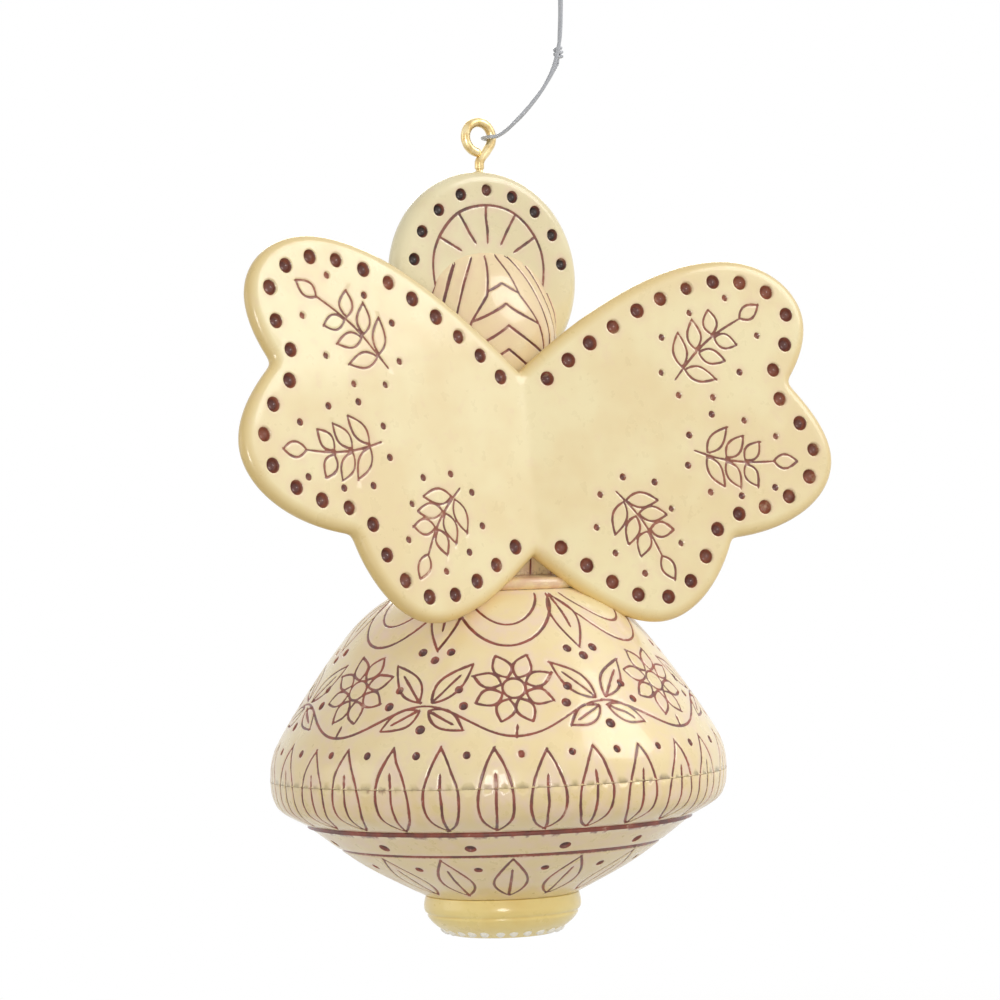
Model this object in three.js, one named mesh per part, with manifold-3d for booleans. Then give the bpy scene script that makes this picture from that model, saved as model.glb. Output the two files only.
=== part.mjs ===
// Hanging angel ornament: cast resin pieces glued together, a gold wire eye and a loop of clear line.
// Millimetres, +Z up, face toward -Y, wings toward +Y. The origin is the centre of the wire eye.
import * as THREE from "three";
import { mergeVertices } from "three/addons/utils/BufferGeometryUtils.js";
import Module from "manifold-3d";

const wasm = await Module();
wasm.setup();

// Driving dimensions. Every height is measured up from the piece below it.
const clearance = 0.3;            // glue gap between neighbouring castings

// Foot: a bun with a row of beads round its lower edge
const footRadius = 10.3;
const footBaseRadius = 6.8;
const footTopRadius = 10.1;
const footHeight = 5.2;
const footSpigotRadius = 5.0;
const footSpigotLength = 3.4;
const beadCount = 26;
const beadRadius = 0.75;

// Skirt: a bell above the seam and a bowl below it, both hollow
const skirtRadius = 30.0;
const hemInset = 4.1;
const hemGrooveDepth = 1.4;
const hemGrooveWidth = 0.7;
const hemOverhang = 1.0;
const coneHeight = 9.8;           // foot to the groove under the hem
const coneBulge = 0.9;
const hemRollHeight = 5.9;        // groove to the seam, which is the widest ring
const skirtHeight = 24.1;         // seam to the waist
const waistRadius = 12.8;
const skirtWall = 2.4;
const bellRoof = 3.4;
const seamLipHeight = 2.2;
const seamLipWall = 1.2;

// Bodice: a round belt, an oval torso and a socket for each piece that it carries
const beltInset = 0.3;
const beltHeight = 1.6;
const torsoHalfWidth = 10.4;
const torsoHalfDepth = 9.6;
const chestHalfWidth = 9.4;
const chestHeight = 12.0;         // waist to the fullest part of the chest
const shoulderRise = 9.0;
const neckBaseRise = 5.0;
const neckBaseRadius = 5.6;
const waistSpigotRadius = 4.0;
const waistSpigotLength = 3.0;

// Wings: one folded plate with three lobes on each side and a border of drilled pits
const wingRise = 17.0;            // waist to the middle of the fold
const wingDepth = 10.2;           // back face of the fold behind the axis
const wingThickness = 2.4;
const wingRound = 0.8;
const wingSweep = THREE.MathUtils.degToRad(8.3);
const wingLean = THREE.MathUtils.degToRad(8.3);
const wingRoll = THREE.MathUtils.degToRad(1.8);  // glued a little askew: the +X wing is higher
const foldTop = 11.5;
const foldBottom = 12.7;
const topLobeRise = 26.9;
const topLobeCrest = 31.3;
const topLobeReach = 42.6;
const topLobeMiddle = 18.3;
const upperNotchReach = 39.2;
const upperNotchRise = 10.2;
const middleLobeReach = 44.9;
const lowerNotchReach = 28.8;
const lowerNotchDrop = 10.8;
const lowLobeCrest = 17.0;
const lowLobeDrop = 21.7;
const pitCount = 28;
const pitRadius = 1.0;
const pitDepth = 1.0;
const pitInset = 3.0;
const pitFromFold = 3.3;
const wingPegRadius = 2.6;
const wingPegLength = 4.5;

// Arms: bell sleeves glued at the shoulders, and folded hands between the cuffs
const sleeveRadius = 3.1;
const cuffRadius = 3.9;
const cuffSocketDepth = 2.2;
const shoulderInset = 0.6;
const elbowReach = 11.9;
const elbowForward = 4.6;
const elbowDrop = 9.6;
const cuffReach = 4.1;
const cuffForward = 12.2;
const cuffDrop = 5.2;
const sleevePegRadius = 1.3;
const sleevePegLength = 2.4;
const wristRadius = 1.9;
const palmHalfWidth = 2.0;
const palmHalfDepth = 2.1;
const palmHalfHeight = 4.6;
const heelRise = 1.6;             // heel of the palms above the cuffs

// Head, hair and halo
const chinGap = 0.5;
const headForward = 3.0;
const headHalfWidth = 7.2;
const headHalfDepth = 6.8;
const headHalfHeight = 7.6;
const noseRadius = 1.1;
const neckRadius = 3.1;
const neckForward = 1.6;
const neckSocketDepth = 3.0;
const hairThickness = 2.7;        // over the crown
const hairForward = 1.2;
const hairHalfWidth = 11.0;
const hairHalfDepth = 7.6;
const hairLift = 1.2;             // gap from the shoulders to the ends of the hair
const hairInnerWidth = 6.7;
const faceHalfWidth = 6.0;
const faceHalfHeight = 6.4;
const haloSink = 3.2;             // halo centre below the crown
const haloRadius = 14.1;
const haloThickness = 3.3;
const haloRound = 1.5;
const haloLowerCut = 7.2;         // the halo ends this far below its centre
const haloPitRing = 11.4;
const haloPitCount = 16;
const haloPitRadius = 0.85;
const haloPitDepth = 0.9;

// Wire eye and the loop of line
const wireRadius = 0.62;
const eyeRadius = 2.0;
const eyeStand = 4.5;             // eye centre above the top of the halo
const shankDepth = 6.0;
const lineRadius = 0.25;
const knotRadius = 0.75;
const knotHalfLength = 1.15;

// Heights that follow from them, above the flat bottom of the foot
const hemHeight = footHeight + coneHeight;
const seamHeight = hemHeight + hemRollHeight;
const waistHeight = seamHeight + skirtHeight;
const shoulderHeight = waistHeight + chestHeight + shoulderRise;
const neckBaseHeight = shoulderHeight + neckBaseRise;
const wingHeight = waistHeight + wingRise;
const headHeight = neckBaseHeight + chinGap + headHalfHeight;
const hairTop = headHeight + headHalfHeight + hairThickness;
const hairBottom = neckBaseHeight + hairLift;
const haloHeight = hairTop - haloSink;
const eyeHeight = haloHeight + haloRadius + eyeStand;
const hemRadius = skirtRadius - hemInset;

const resin = { color: 0xe9d6a4, roughness: 0.35, metalness: 0.0 };
const gold = { color: 0xd6bd83, roughness: 0.28, metalness: 1.0 };
const nylon = { color: 0xdcdcd6, roughness: 0.2, metalness: 0.0 };

const v2 = (x, y) => new THREE.Vector2(x, y);
const v3 = (x, y, z) => new THREE.Vector3(x, y, z);

// A closed three.js geometry as a solid for cutting and joining
function solid(geometry) {
  const bare = geometry.index ? geometry.toNonIndexed() : geometry.clone();
  for (const name of Object.keys(bare.attributes)) {
    if (name !== "position") {
      bare.deleteAttribute(name);
    }
  }
  const merged = mergeVertices(bare, 1e-4);
  const mesh = new wasm.Mesh({
    numProp: 3,
    vertProperties: new Float32Array(merged.attributes.position.array),
    triVerts: new Uint32Array(merged.index.array),
  });
  return new wasm.Manifold(mesh);
}

function piece(name, body, look) {
  const mesh = body.getMesh();
  const geometry = new THREE.BufferGeometry();
  const vertices = new Float32Array(mesh.vertProperties);
  geometry.setAttribute("position", new THREE.BufferAttribute(vertices, 3));
  geometry.setIndex(new THREE.BufferAttribute(new Uint32Array(mesh.triVerts), 1));
  geometry.computeVertexNormals();
  const result = new THREE.Mesh(geometry, new THREE.MeshStandardMaterial(look));
  result.name = name;
  return result;
}

// A profile of radius and height, turned round the Z axis
function revolve(profile, segments) {
  return new THREE.LatheGeometry(profile, segments).rotateX(Math.PI / 2);
}

function rod(radius, bottom, top, segments) {
  return new THREE.CylinderGeometry(radius, radius, top - bottom, segments)
    .rotateX(Math.PI / 2)
    .translate(0, 0, (bottom + top) / 2);
}

function ellipsoid(rx, ry, rz, around, along) {
  return new THREE.SphereGeometry(1, around, along).rotateX(Math.PI / 2).scale(rx, ry, rz);
}

function smooth(points, count) {
  return new THREE.SplineCurve(points).getPoints(count);
}

function circle(radius, sides) {
  const points = [];
  for (let j = 0; j < sides; j++) {
    const angle = (2 * Math.PI * j) / sides;
    points.push(v2(radius * Math.cos(angle), radius * Math.sin(angle)));
  }
  return new THREE.Shape(points);
}

function roundTube(curve, radius, sides, steps) {
  return new THREE.ExtrudeGeometry(circle(radius, sides), { steps, bevelEnabled: false, extrudePath: curve });
}

// A round section that changes size along a curve, with closed ends
function taper(curve, radiusAt, sides, steps) {
  const frames = curve.computeFrenetFrames(steps, false);
  const positions = [];
  const index = [];
  for (let i = 0; i <= steps; i++) {
    const centre = curve.getPointAt(i / steps);
    for (const p of circle(radiusAt(i / steps), sides).getPoints()) {
      const rim = centre.clone().addScaledVector(frames.normals[i], p.x);
      positions.push(...rim.addScaledVector(frames.binormals[i], p.y).toArray());
    }
  }
  const ends = positions.length / 3;
  positions.push(...curve.getPointAt(0).toArray(), ...curve.getPointAt(1).toArray());
  for (let j = 0; j < sides; j++) {
    const next = (j + 1) % sides;
    for (let i = 0; i < steps; i++) {
      const a = i * sides + j;
      const b = i * sides + next;
      index.push(a, b, a + sides, b, b + sides, a + sides);
    }
    index.push(ends, next, j);
    index.push(ends + 1, steps * sides + j, steps * sides + next);
  }
  const geometry = new THREE.BufferGeometry();
  geometry.setAttribute("position", new THREE.Float32BufferAttribute(positions, 3));
  geometry.setIndex(index);
  return geometry;
}

// Foot and skirt
function foot() {
  const edge = smooth([
    v2(footBaseRadius, 0),
    v2((footBaseRadius + 2 * footRadius) / 3, footHeight * 0.3),
    v2(footRadius, footHeight * 0.66),
    v2(footTopRadius, footHeight),
  ], 6);
  const profile = [
    v2(0, 0),
    ...edge,
    v2(footSpigotRadius, footHeight),
    v2(footSpigotRadius, footHeight + footSpigotLength),
    v2(0, footHeight + footSpigotLength),
  ];
  let body = solid(revolve(profile, 32));
  for (let i = 0; i < beadCount; i++) {
    const bead = ellipsoid(beadRadius, beadRadius, beadRadius, 4, 3);
    bead.translate(footBaseRadius + beadRadius, 0, beadRadius * 1.3);
    bead.rotateZ((2 * Math.PI * i) / beadCount);
    body = body.add(solid(bead));
  }
  return body;
}

function bowl() {
  const grooveTop = hemHeight + hemGrooveWidth / 2;
  const grooveBottom = hemHeight - hemGrooveWidth / 2;
  const grooveRadius = hemRadius - hemGrooveDepth;
  const coneTop = hemRadius - hemOverhang;
  const coneFoot = footHeight + clearance;
  const middle = v2((coneTop + footTopRadius) / 2 + coneBulge / 2, (grooveBottom + coneFoot) / 2 - coneBulge / 2);
  const roll = smooth([
    v2(skirtRadius, seamHeight),
    v2(skirtRadius - 0.07 * hemInset, seamHeight - 0.37 * hemRollHeight),
    v2(skirtRadius - 0.32 * hemInset, seamHeight - 0.66 * hemRollHeight),
    v2(hemRadius, grooveTop),
  ], 4);
  const cone = smooth([v2(coneTop, grooveBottom), middle, v2(footTopRadius, coneFoot)], 5);
  const socket = footSpigotRadius + clearance;
  const floor = footHeight + footSpigotLength + clearance;
  const lip = bellRadius(seamHeight + seamLipHeight) - skirtWall - 1.5 * clearance;
  const profile = [
    v2(socket, coneFoot),
    ...cone.reverse(),
    v2(grooveRadius, grooveBottom),
    v2(grooveRadius, grooveTop),
    ...roll.reverse(),
    v2(lip, seamHeight),
    v2(lip, seamHeight + seamLipHeight),
    v2(lip - seamLipWall, seamHeight + seamLipHeight),
    v2(lip - seamLipWall, seamHeight),
    v2(grooveRadius - skirtWall, hemHeight),
    v2(socket + skirtWall, floor),
    v2(socket, floor),
    v2(socket, coneFoot),
  ];
  return solid(revolve(profile, 40));
}

function bellOutline(offset, count) {
  const spread = skirtRadius - waistRadius;
  const shape = smooth([
    v2(skirtRadius, seamHeight),
    v2(waistRadius + 0.95 * spread, seamHeight + 0.18 * skirtHeight),
    v2(waistRadius + 0.64 * spread, seamHeight + 0.53 * skirtHeight),
    v2(waistRadius + 0.3 * spread, seamHeight + 0.84 * skirtHeight),
    v2(waistRadius, waistHeight),
  ], count);
  return shape.map((p) => v2(p.x + offset, p.y));
}

// Radius of the bell's outside at a height between the seam and the waist
function bellRadius(height) {
  const outline = bellOutline(0, 60);
  const above = outline.findIndex((p) => p.y > height);
  const [low, high] = [outline[above - 1], outline[above]];
  return THREE.MathUtils.mapLinear(height, low.y, high.y, low.x, high.x);
}

function bell() {
  const roof = waistHeight - bellRoof;
  const bottom = seamHeight + clearance;
  const socket = waistSpigotRadius + clearance;
  const inside = [];
  for (let i = 5; i > 0; i--) {
    const height = THREE.MathUtils.lerp(bottom, roof, i / 5);
    inside.push(v2(bellRadius(height) - skirtWall, height));
  }
  const profile = [
    v2(skirtRadius - skirtWall, bottom),
    v2(skirtRadius, bottom),
    ...bellOutline(0, 9).filter((p) => p.y > bottom),
    v2(socket, waistHeight),
    v2(socket, roof),
    ...inside,
    v2(skirtRadius - skirtWall, bottom),
  ];
  return solid(revolve(profile, 40));
}

// The skirt's outside as a full solid, grown by the glue gap
function skirtRoom() {
  const profile = [v2(0, seamHeight), ...bellOutline(clearance, 10), v2(0, waistHeight)];
  return solid(revolve(profile, 40));
}

// Wing outline in its own plane: from the top of the fold round three lobes to its bottom
function wingOutline(side) {
  const shape = new THREE.Shape();
  const root = -2 * wingThickness;
  const curve = (a, b, c, d, u, v) => shape.bezierCurveTo(side * a, b, side * c, d, side * u, v);
  const topWidth = topLobeReach - topLobeCrest;
  const topSide = topLobeRise - topLobeMiddle;
  const middleDrop = upperNotchRise * 0.4;
  shape.moveTo(side * root, foldTop + root * 0.8);
  shape.lineTo(0, foldTop);
  curve(0.25 * topLobeCrest, foldTop + 6.5, 0.65 * topLobeCrest, topLobeRise, topLobeCrest, topLobeRise);
  curve(topLobeCrest + 0.55 * topWidth, topLobeRise, topLobeReach, topLobeMiddle + 0.55 * topSide,
    topLobeReach, topLobeMiddle);
  curve(topLobeReach, topLobeMiddle - 3.5, upperNotchReach + 1.1, upperNotchRise + 1.4,
    upperNotchReach, upperNotchRise);
  curve(upperNotchReach + 1.8, upperNotchRise - 1.9, middleLobeReach, middleDrop, middleLobeReach, 0);
  curve(middleLobeReach, -0.5 * lowerNotchDrop, lowerNotchReach + 9.6, 0.8 - lowerNotchDrop,
    lowerNotchReach, -lowerNotchDrop);
  curve(lowerNotchReach - 1.4, -lowerNotchDrop - 4.4, lowLobeCrest + 6, -lowLobeDrop,
    lowLobeCrest, -lowLobeDrop);
  curve(0.68 * lowLobeCrest, -lowLobeDrop, 0.32 * lowLobeCrest, -foldBottom - 4.5, 0, -foldBottom);
  shape.lineTo(side * root, -foldBottom - root * 0.8);
  shape.closePath();
  return shape;
}

// From the wing's own plane, with its back face on Y = 0, to its place behind the bodice
function placeWing(geometry, side) {
  return geometry
    .rotateZ(side * wingSweep)
    .rotateX(wingLean)
    .rotateY(-wingRoll)
    .translate(0, wingDepth, wingHeight);
}

// One wing up to the fold. A grown wing that also reaches far back cuts the seat for it.
function wingPlate(side, grow, back) {
  const plate = new THREE.ExtrudeGeometry(wingOutline(side), {
    depth: wingThickness + grow + back - 2 * wingRound,
    bevelThickness: wingRound,
    bevelSize: wingRound,
    bevelOffset: grow - wingRound,
    bevelSegments: 2,
    curveSegments: 6,
  });
  plate.translate(0, 0, wingRound - back).rotateX(Math.PI / 2);
  const span = 2 * middleLobeReach;
  const half = new THREE.BoxGeometry(span, span, 2 * span);
  half.translate(side * (span / 2 - 0.1), 0, 0).rotateY(-wingRoll).translate(0, wingDepth, wingHeight);
  return solid(placeWing(plate, side)).intersect(solid(half));
}

// Even steps along a line that keeps pitInset inside the outline
function pitCentres() {
  const edge = wingOutline(1).getPoints(24).filter((p) => p.x >= 0);
  const inner = [];
  for (let i = 1; i < edge.length - 1; i++) {
    const along = edge[i + 1].clone().sub(edge[i - 1]).normalize();
    const point = edge[i].clone().add(v2(along.y, -along.x).multiplyScalar(pitInset));
    const nearest = Math.min(...edge.map((q) => q.distanceTo(point)));
    if (nearest > 0.97 * pitInset && point.x > pitFromFold) {
      inner.push(point);
    }
  }
  const path = new THREE.CurvePath();
  for (let i = 1; i < inner.length; i++) {
    path.add(new THREE.LineCurve(inner[i - 1], inner[i]));
  }
  return path.getSpacedPoints(pitCount - 1);
}

function wings() {
  let body = wingPlate(1, 0, 0).add(wingPlate(-1, 0, 0));
  const peg = new THREE.CylinderGeometry(wingPegRadius, wingPegRadius, wingPegLength + 1, 16);
  peg.translate(0, 0.5 - wingThickness - wingPegLength / 2, 0);
  body = body.add(solid(placeWing(peg, 0)));
  for (const side of [1, -1]) {
    for (const centre of pitCentres()) {
      const pit = new THREE.CylinderGeometry(pitRadius, pitRadius * 0.7, 2 * pitDepth, 6);
      pit.rotateX(Math.PI).translate(side * centre.x, 0, centre.y);
      body = body.subtract(solid(placeWing(pit, side)));
    }
  }
  return body.subtract(skirtRoom());
}

// Torso without its cuts, grown by an offset where it makes room for itself
function torso(offset) {
  const low = waistHeight + clearance;
  const profile = [
    v2(0, low),
    ...smooth([
      v2(torsoHalfWidth + offset, low),
      v2(chestHalfWidth + offset, waistHeight + chestHeight),
      v2(chestHalfWidth * 0.97 + offset, shoulderHeight),
      v2(neckBaseRadius + offset, neckBaseHeight + offset),
    ], 8),
    v2(0, neckBaseHeight + offset),
  ];
  return solid(revolve(profile, 24).scale(1, torsoHalfDepth / torsoHalfWidth, 1));
}

function sleevePath(side) {
  return new THREE.CatmullRomCurve3([
    v3(side * (chestHalfWidth - shoulderInset), 0, shoulderHeight),
    v3(side * elbowReach, -elbowForward * 0.4, shoulderHeight - elbowDrop * 0.55),
    v3(side * elbowReach, -elbowForward, shoulderHeight - elbowDrop),
    v3(side * (elbowReach + cuffReach) / 2, -(elbowForward + cuffForward) / 2, shoulderHeight - elbowDrop),
    v3(side * cuffReach, -cuffForward, shoulderHeight - cuffDrop),
  ]);
}

function sleevePeg(side, offset) {
  const reach = chestHalfWidth - shoulderInset;
  const peg = new THREE.CylinderGeometry(sleevePegRadius + offset, sleevePegRadius + offset, 1, 12);
  const length = sleevePegLength + shoulderInset + offset;
  return solid(peg.scale(1, length, 1)
    .rotateZ(Math.PI / 2)
    .translate(side * (reach - length / 2 + 0.3 * sleeveRadius), 0, shoulderHeight));
}

// The wrist runs straight from the heel of the palms into the cuff
const heel = v3(0, -cuffForward - palmHalfDepth * 0.4, shoulderHeight - cuffDrop + heelRise);

function wrist(side, radius, depth) {
  const cuff = sleevePath(side).getPointAt(1);
  const inward = cuff.clone().sub(heel).normalize();
  const end = cuff.addScaledVector(inward, depth);
  return solid(roundTube(new THREE.LineCurve3(heel, end), radius, 10, 1));
}

function sleeve(side) {
  const swell = (t) => sleeveRadius + (cuffRadius - sleeveRadius) * t - 0.5 * Math.sin(Math.PI * t);
  return solid(taper(sleevePath(side), swell, 12, 10))
    .subtract(torso(clearance))
    .subtract(wingPlate(side, clearance, 20))
    .add(sleevePeg(side, 0))
    .subtract(wrist(side, wristRadius + clearance, cuffSocketDepth));
}

function hands() {
  const palms = ellipsoid(palmHalfWidth, palmHalfDepth, palmHalfHeight, 12, 8);
  palms.translate(heel.x, heel.y, heel.z + palmHalfHeight * 0.55);
  return solid(palms)
    .add(wrist(1, wristRadius, cuffSocketDepth - clearance))
    .add(wrist(-1, wristRadius, cuffSocketDepth - clearance));
}

function bodice() {
  const low = waistHeight + clearance;
  const beltRadius = waistRadius - beltInset;
  const belt = revolve([
    v2(0, low),
    v2(beltRadius, low),
    v2(beltRadius, low + beltHeight * 0.7),
    v2(beltRadius - beltHeight * 0.3, low + beltHeight),
    v2(0, low + beltHeight),
  ], 36);
  let body = torso(0).add(solid(belt));
  body = body.subtract(wingPlate(1, clearance, 20)).subtract(wingPlate(-1, clearance, 20));
  const pegRoom = new THREE.CylinderGeometry(wingPegRadius + clearance, wingPegRadius + clearance, 1, 16);
  const pegDepth = wingThickness + wingPegLength + clearance;
  pegRoom.scale(1, pegDepth, 1).translate(0, -pegDepth / 2, 0);
  body = body.subtract(solid(placeWing(pegRoom, 0)));
  const neckRoom = rod(neckRadius + clearance, neckBaseHeight - neckSocketDepth - clearance, neckBaseHeight + 1, 16);
  body = body.subtract(solid(neckRoom.translate(0, -neckForward, 0)));
  body = body.subtract(sleevePeg(1, clearance)).subtract(sleevePeg(-1, clearance));
  return body.add(solid(rod(waistSpigotRadius, waistHeight - waistSpigotLength, low + 1, 20)));
}

// Head, hair and halo
function headForm(offset) {
  const form = ellipsoid(headHalfWidth + offset, headHalfDepth + offset, headHalfHeight + offset, 20, 12);
  return solid(form.translate(0, -headForward, headHeight));
}

function head() {
  const neck = rod(neckRadius, neckBaseHeight - neckSocketDepth, headHeight - headHalfHeight * 0.3, 16);
  const nose = ellipsoid(noseRadius, noseRadius, noseRadius * 1.2, 8, 6);
  nose.translate(0, -headForward - headHalfDepth, headHeight - headHalfHeight * 0.12);
  return headForm(0)
    .add(solid(neck.translate(0, -neckForward, 0)))
    .add(solid(nose));
}

function hairForm(offset) {
  const tall = hairTop - hairBottom;
  const shape = smooth([
    v2(0, hairTop + offset),
    v2(0.5 * hairHalfWidth + offset, hairTop - 0.07 * tall + offset),
    v2(0.82 * hairHalfWidth + offset, hairTop - 0.28 * tall),
    v2(hairHalfWidth + offset, hairTop - 0.62 * tall),
    v2(0.86 * hairHalfWidth + offset, hairBottom - offset),
  ], 10);
  const profile = [v2(0, hairBottom - offset), ...shape.reverse()];
  profile[profile.length - 1] = v2(0, hairTop + offset);
  const form = revolve(profile, 26).scale(1, hairHalfDepth / hairHalfWidth, 1);
  return solid(form.translate(0, -hairForward, 0));
}

function hair() {
  const under = rod(1, hairBottom - 1, headHeight, 22);
  under.scale(hairInnerWidth, hairInnerWidth * headHalfDepth / headHalfWidth, 1).translate(0, -headForward, 0);
  const reach = hairHalfDepth + hairForward;
  const face = new THREE.CylinderGeometry(1, 1, reach, 24);
  face.scale(faceHalfWidth, 1, faceHalfHeight).translate(0, -headForward - reach / 2, headHeight);
  const chin = new THREE.BoxGeometry(2 * faceHalfWidth, reach, headHeight - hairBottom + 1);
  chin.translate(0, -headForward - reach / 2, (headHeight + hairBottom - 1) / 2);
  return hairForm(0)
    .subtract(headForm(clearance))
    .subtract(solid(under))
    .subtract(solid(face).add(solid(chin)));
}

function halo() {
  const half = haloThickness / 2;
  const rim = [];
  for (let i = 0; i <= 6; i++) {
    const angle = -Math.PI / 2 + (Math.PI * i) / 6;
    const rise = Math.sign(Math.sin(angle)) * (half - haloRound);
    rim.push(v2(haloRadius - haloRound + haloRound * Math.cos(angle), rise + haloRound * Math.sin(angle)));
  }
  const profile = [v2(0, -half), ...rim, v2(0, half)];
  const disc = revolve(profile, 40).rotateX(Math.PI / 2).translate(0, 0, haloHeight);
  let body = solid(disc).subtract(hairForm(clearance));
  const below = new THREE.BoxGeometry(4 * haloRadius, 4 * haloThickness, 2 * haloRadius);
  below.translate(0, 0, haloHeight - haloLowerCut - haloRadius);
  body = body.subtract(solid(below));
  for (const face of [1, -1]) {
    for (let i = 0; i < haloPitCount; i++) {
      const angle = (2 * Math.PI * i) / haloPitCount;
      const x = haloPitRing * Math.cos(angle);
      const z = haloPitRing * Math.sin(angle);
      if (z > haloPitRadius * 2 - haloLowerCut) {
        const pit = new THREE.CylinderGeometry(haloPitRadius, haloPitRadius, 2 * haloPitDepth, 6);
        pit.translate(x, face * half, haloHeight + z);
        body = body.subtract(solid(pit));
      }
    }
  }
  const top = haloHeight + haloRadius;
  const shankRoom = rod(wireRadius + clearance, top - shankDepth - clearance, top + 1, 12);
  return body.subtract(solid(shankRoom));
}

// Wire eye: a straight shank bent into a ring whose end butts against it
function eyePin() {
  const route = [
    v3(0, 0, -eyeStand - shankDepth),
    v3(0, 0, -eyeStand),
    v3(0, 0, -eyeRadius * 1.75),
  ];
  for (let degrees = 250; degrees >= -58; degrees -= 22) {
    const angle = THREE.MathUtils.degToRad(degrees);
    route.push(v3(eyeRadius * Math.cos(angle), 0, eyeRadius * Math.sin(angle)));
  }
  return solid(roundTube(new THREE.CatmullRomCurve3(route), wireRadius, 8, 36));
}

// The line: from the knot down, round the ring's limb, up over the loop's top and back to the knot
const lineRoute = [
  v3(-9.85, 4.45, 9.6),
  v3(-8.5, 3.6, 7.0),
  v3(-6.8, 2.5, 4.3),
  v3(-4.9, 1.0, 1.9),
  v3(-3.5, -0.55, 0.5),
  v3(-2.0, -1.17, 0),
  v3(-1.17, -0.83, 0),
  v3(-0.83, 0, 0),
  v3(-1.17, 0.83, 0),
  v3(-2.0, 1.3, 0.1),
  v3(-2.9, 2.1, 0.7),
  v3(-3.9, 3.1, 1.9),
  v3(-5.8, 4.4, 4.3),
  v3(-7.6, 5.3, 7.0),
  v3(-9.0, 6.0, 11.0),
  v3(-9.5, 6.4, 17.0),
  v3(-9.2, 6.9, 25.0),
  v3(-8.7, 7.3, 33.0),
  v3(-8.75, 6.9, 37.4),
  v3(-9.65, 5.35, 39.6),
  v3(-10.55, 3.8, 37.4),
  v3(-10.85, 3.5, 33.0),
  v3(-10.75, 4.1, 25.0),
  v3(-10.45, 4.65, 17.0),
  v3(-10.2, 4.6, 12.6),
];

function hangingLine() {
  return solid(roundTube(new THREE.CatmullRomCurve3(lineRoute), lineRadius, 8, 64));
}

function lineKnot() {
  const knot = ellipsoid(knotRadius, knotRadius, knotHalfLength, 8, 6);
  const centre = lineRoute[0].clone().add(lineRoute.at(-1)).multiplyScalar(0.5);
  return solid(knot.translate(...centre.toArray()));
}

// Assembly from the foot up
const figure = new THREE.Group();
figure.position.z = -eyeHeight;
figure.add(piece("foot", foot(), resin));
figure.add(piece("skirt_bowl", bowl(), resin));
figure.add(piece("skirt_bell", bell(), resin));
figure.add(piece("bodice", bodice(), resin));
figure.add(piece("wings", wings(), resin));
figure.add(piece("left_sleeve", sleeve(1), resin));
figure.add(piece("right_sleeve", sleeve(-1), resin));
figure.add(piece("hands", hands(), resin));
figure.add(piece("head", head(), resin));
figure.add(piece("hair", hair(), resin));
figure.add(piece("halo", halo(), resin));

const hanger = new THREE.Group();
hanger.add(piece("eye_pin", eyePin(), gold));
hanger.add(piece("hanging_line", hangingLine(), nylon));
hanger.add(piece("line_knot", lineKnot(), nylon));

const angel = new THREE.Group();
angel.name = "angel_ornament";
angel.add(figure, hanger);

export default angel;
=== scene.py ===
import math
from itertools import product

import bmesh
import bpy
import numpy as np
from mathutils import Matrix, Vector, kdtree
from mathutils.geometry import delaunay_2d_cdt


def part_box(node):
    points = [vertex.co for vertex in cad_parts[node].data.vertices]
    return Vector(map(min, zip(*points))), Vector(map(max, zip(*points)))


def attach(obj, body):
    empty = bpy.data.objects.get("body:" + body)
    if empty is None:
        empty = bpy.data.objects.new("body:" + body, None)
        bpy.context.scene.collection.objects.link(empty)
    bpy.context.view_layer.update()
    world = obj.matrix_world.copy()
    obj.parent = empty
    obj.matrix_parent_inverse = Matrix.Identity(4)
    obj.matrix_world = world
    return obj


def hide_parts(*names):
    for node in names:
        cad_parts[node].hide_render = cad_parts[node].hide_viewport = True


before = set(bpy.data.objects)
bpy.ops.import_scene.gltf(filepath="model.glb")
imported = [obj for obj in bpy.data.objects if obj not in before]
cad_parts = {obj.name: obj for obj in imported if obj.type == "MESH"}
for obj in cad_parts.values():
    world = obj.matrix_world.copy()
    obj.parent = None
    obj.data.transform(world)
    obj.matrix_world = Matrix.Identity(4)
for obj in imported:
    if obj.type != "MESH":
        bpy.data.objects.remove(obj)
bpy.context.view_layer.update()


# Foot: a small round pedestal cast in ivory resin, with a row of tiny beads round its lower edge.
# It is glued into the bottom of the skirt by a spigot. Sizes are millimetres above its flat underside.
MM = 0.001
# The third mark lays on an edge colour: the resin's yellower tone in places, painted shade on the wing edges,
# and a painted highlight on the foot's beads.
MARKS = ("stain", "nearby", "rim")
STAIN, NEARBY, EDGE_TONE_AND_PAINTED_LIGHT = range(len(MARKS))
glue_gap = 0.3
axis_gap = 0.02
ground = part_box("foot")[0].z / MM
foot_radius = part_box("foot")[1].x / MM
foot_base_radius = 6.8
foot_top_radius = 10.1
foot_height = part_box("skirt_bowl")[0].z / MM - ground - glue_gap
foot_recess = 0.25
foot_columns = 128
crease_height = 0.55 * foot_height
crease_width = 0.18
crease_depth = 0.22
foot_beads = 26
bead_radius = 0.75
spigot_radius = 5.0
spigot_length = 3.4
dice = np.random.default_rng(7)


def srgb(red, green, blue):
    """A colour of 0 to 255 as it looks on screen, as linear values for a shader."""
    values = np.array([red, green, blue]) / 255
    linear = np.where(values <= 0.04045, values / 12.92, ((values + 0.055) / 1.055) ** 2.4)
    return (*linear.tolist(), 1.0)


def smooth(points, count):
    """A curve through the points, at even steps from knot to knot."""
    knots = np.array(points, float)
    last = len(knots) - 1
    curve = []
    for t in np.linspace(0, last, count):
        i = min(int(t), last - 1)
        f = t - i
        before, start, end, after = (knots[k] for k in (max(i - 1, 0), i, i + 1, min(i + 2, last)))
        leave = (end - before) / 2
        arrive = (after - start) / 2
        cubic = 2 * start - 2 * end + leave + arrive
        square = -3 * start + 3 * end - 2 * leave - arrive
        curve.append(((cubic * f + square) * f + leave) * f + start)
    return np.array(curve)


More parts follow.
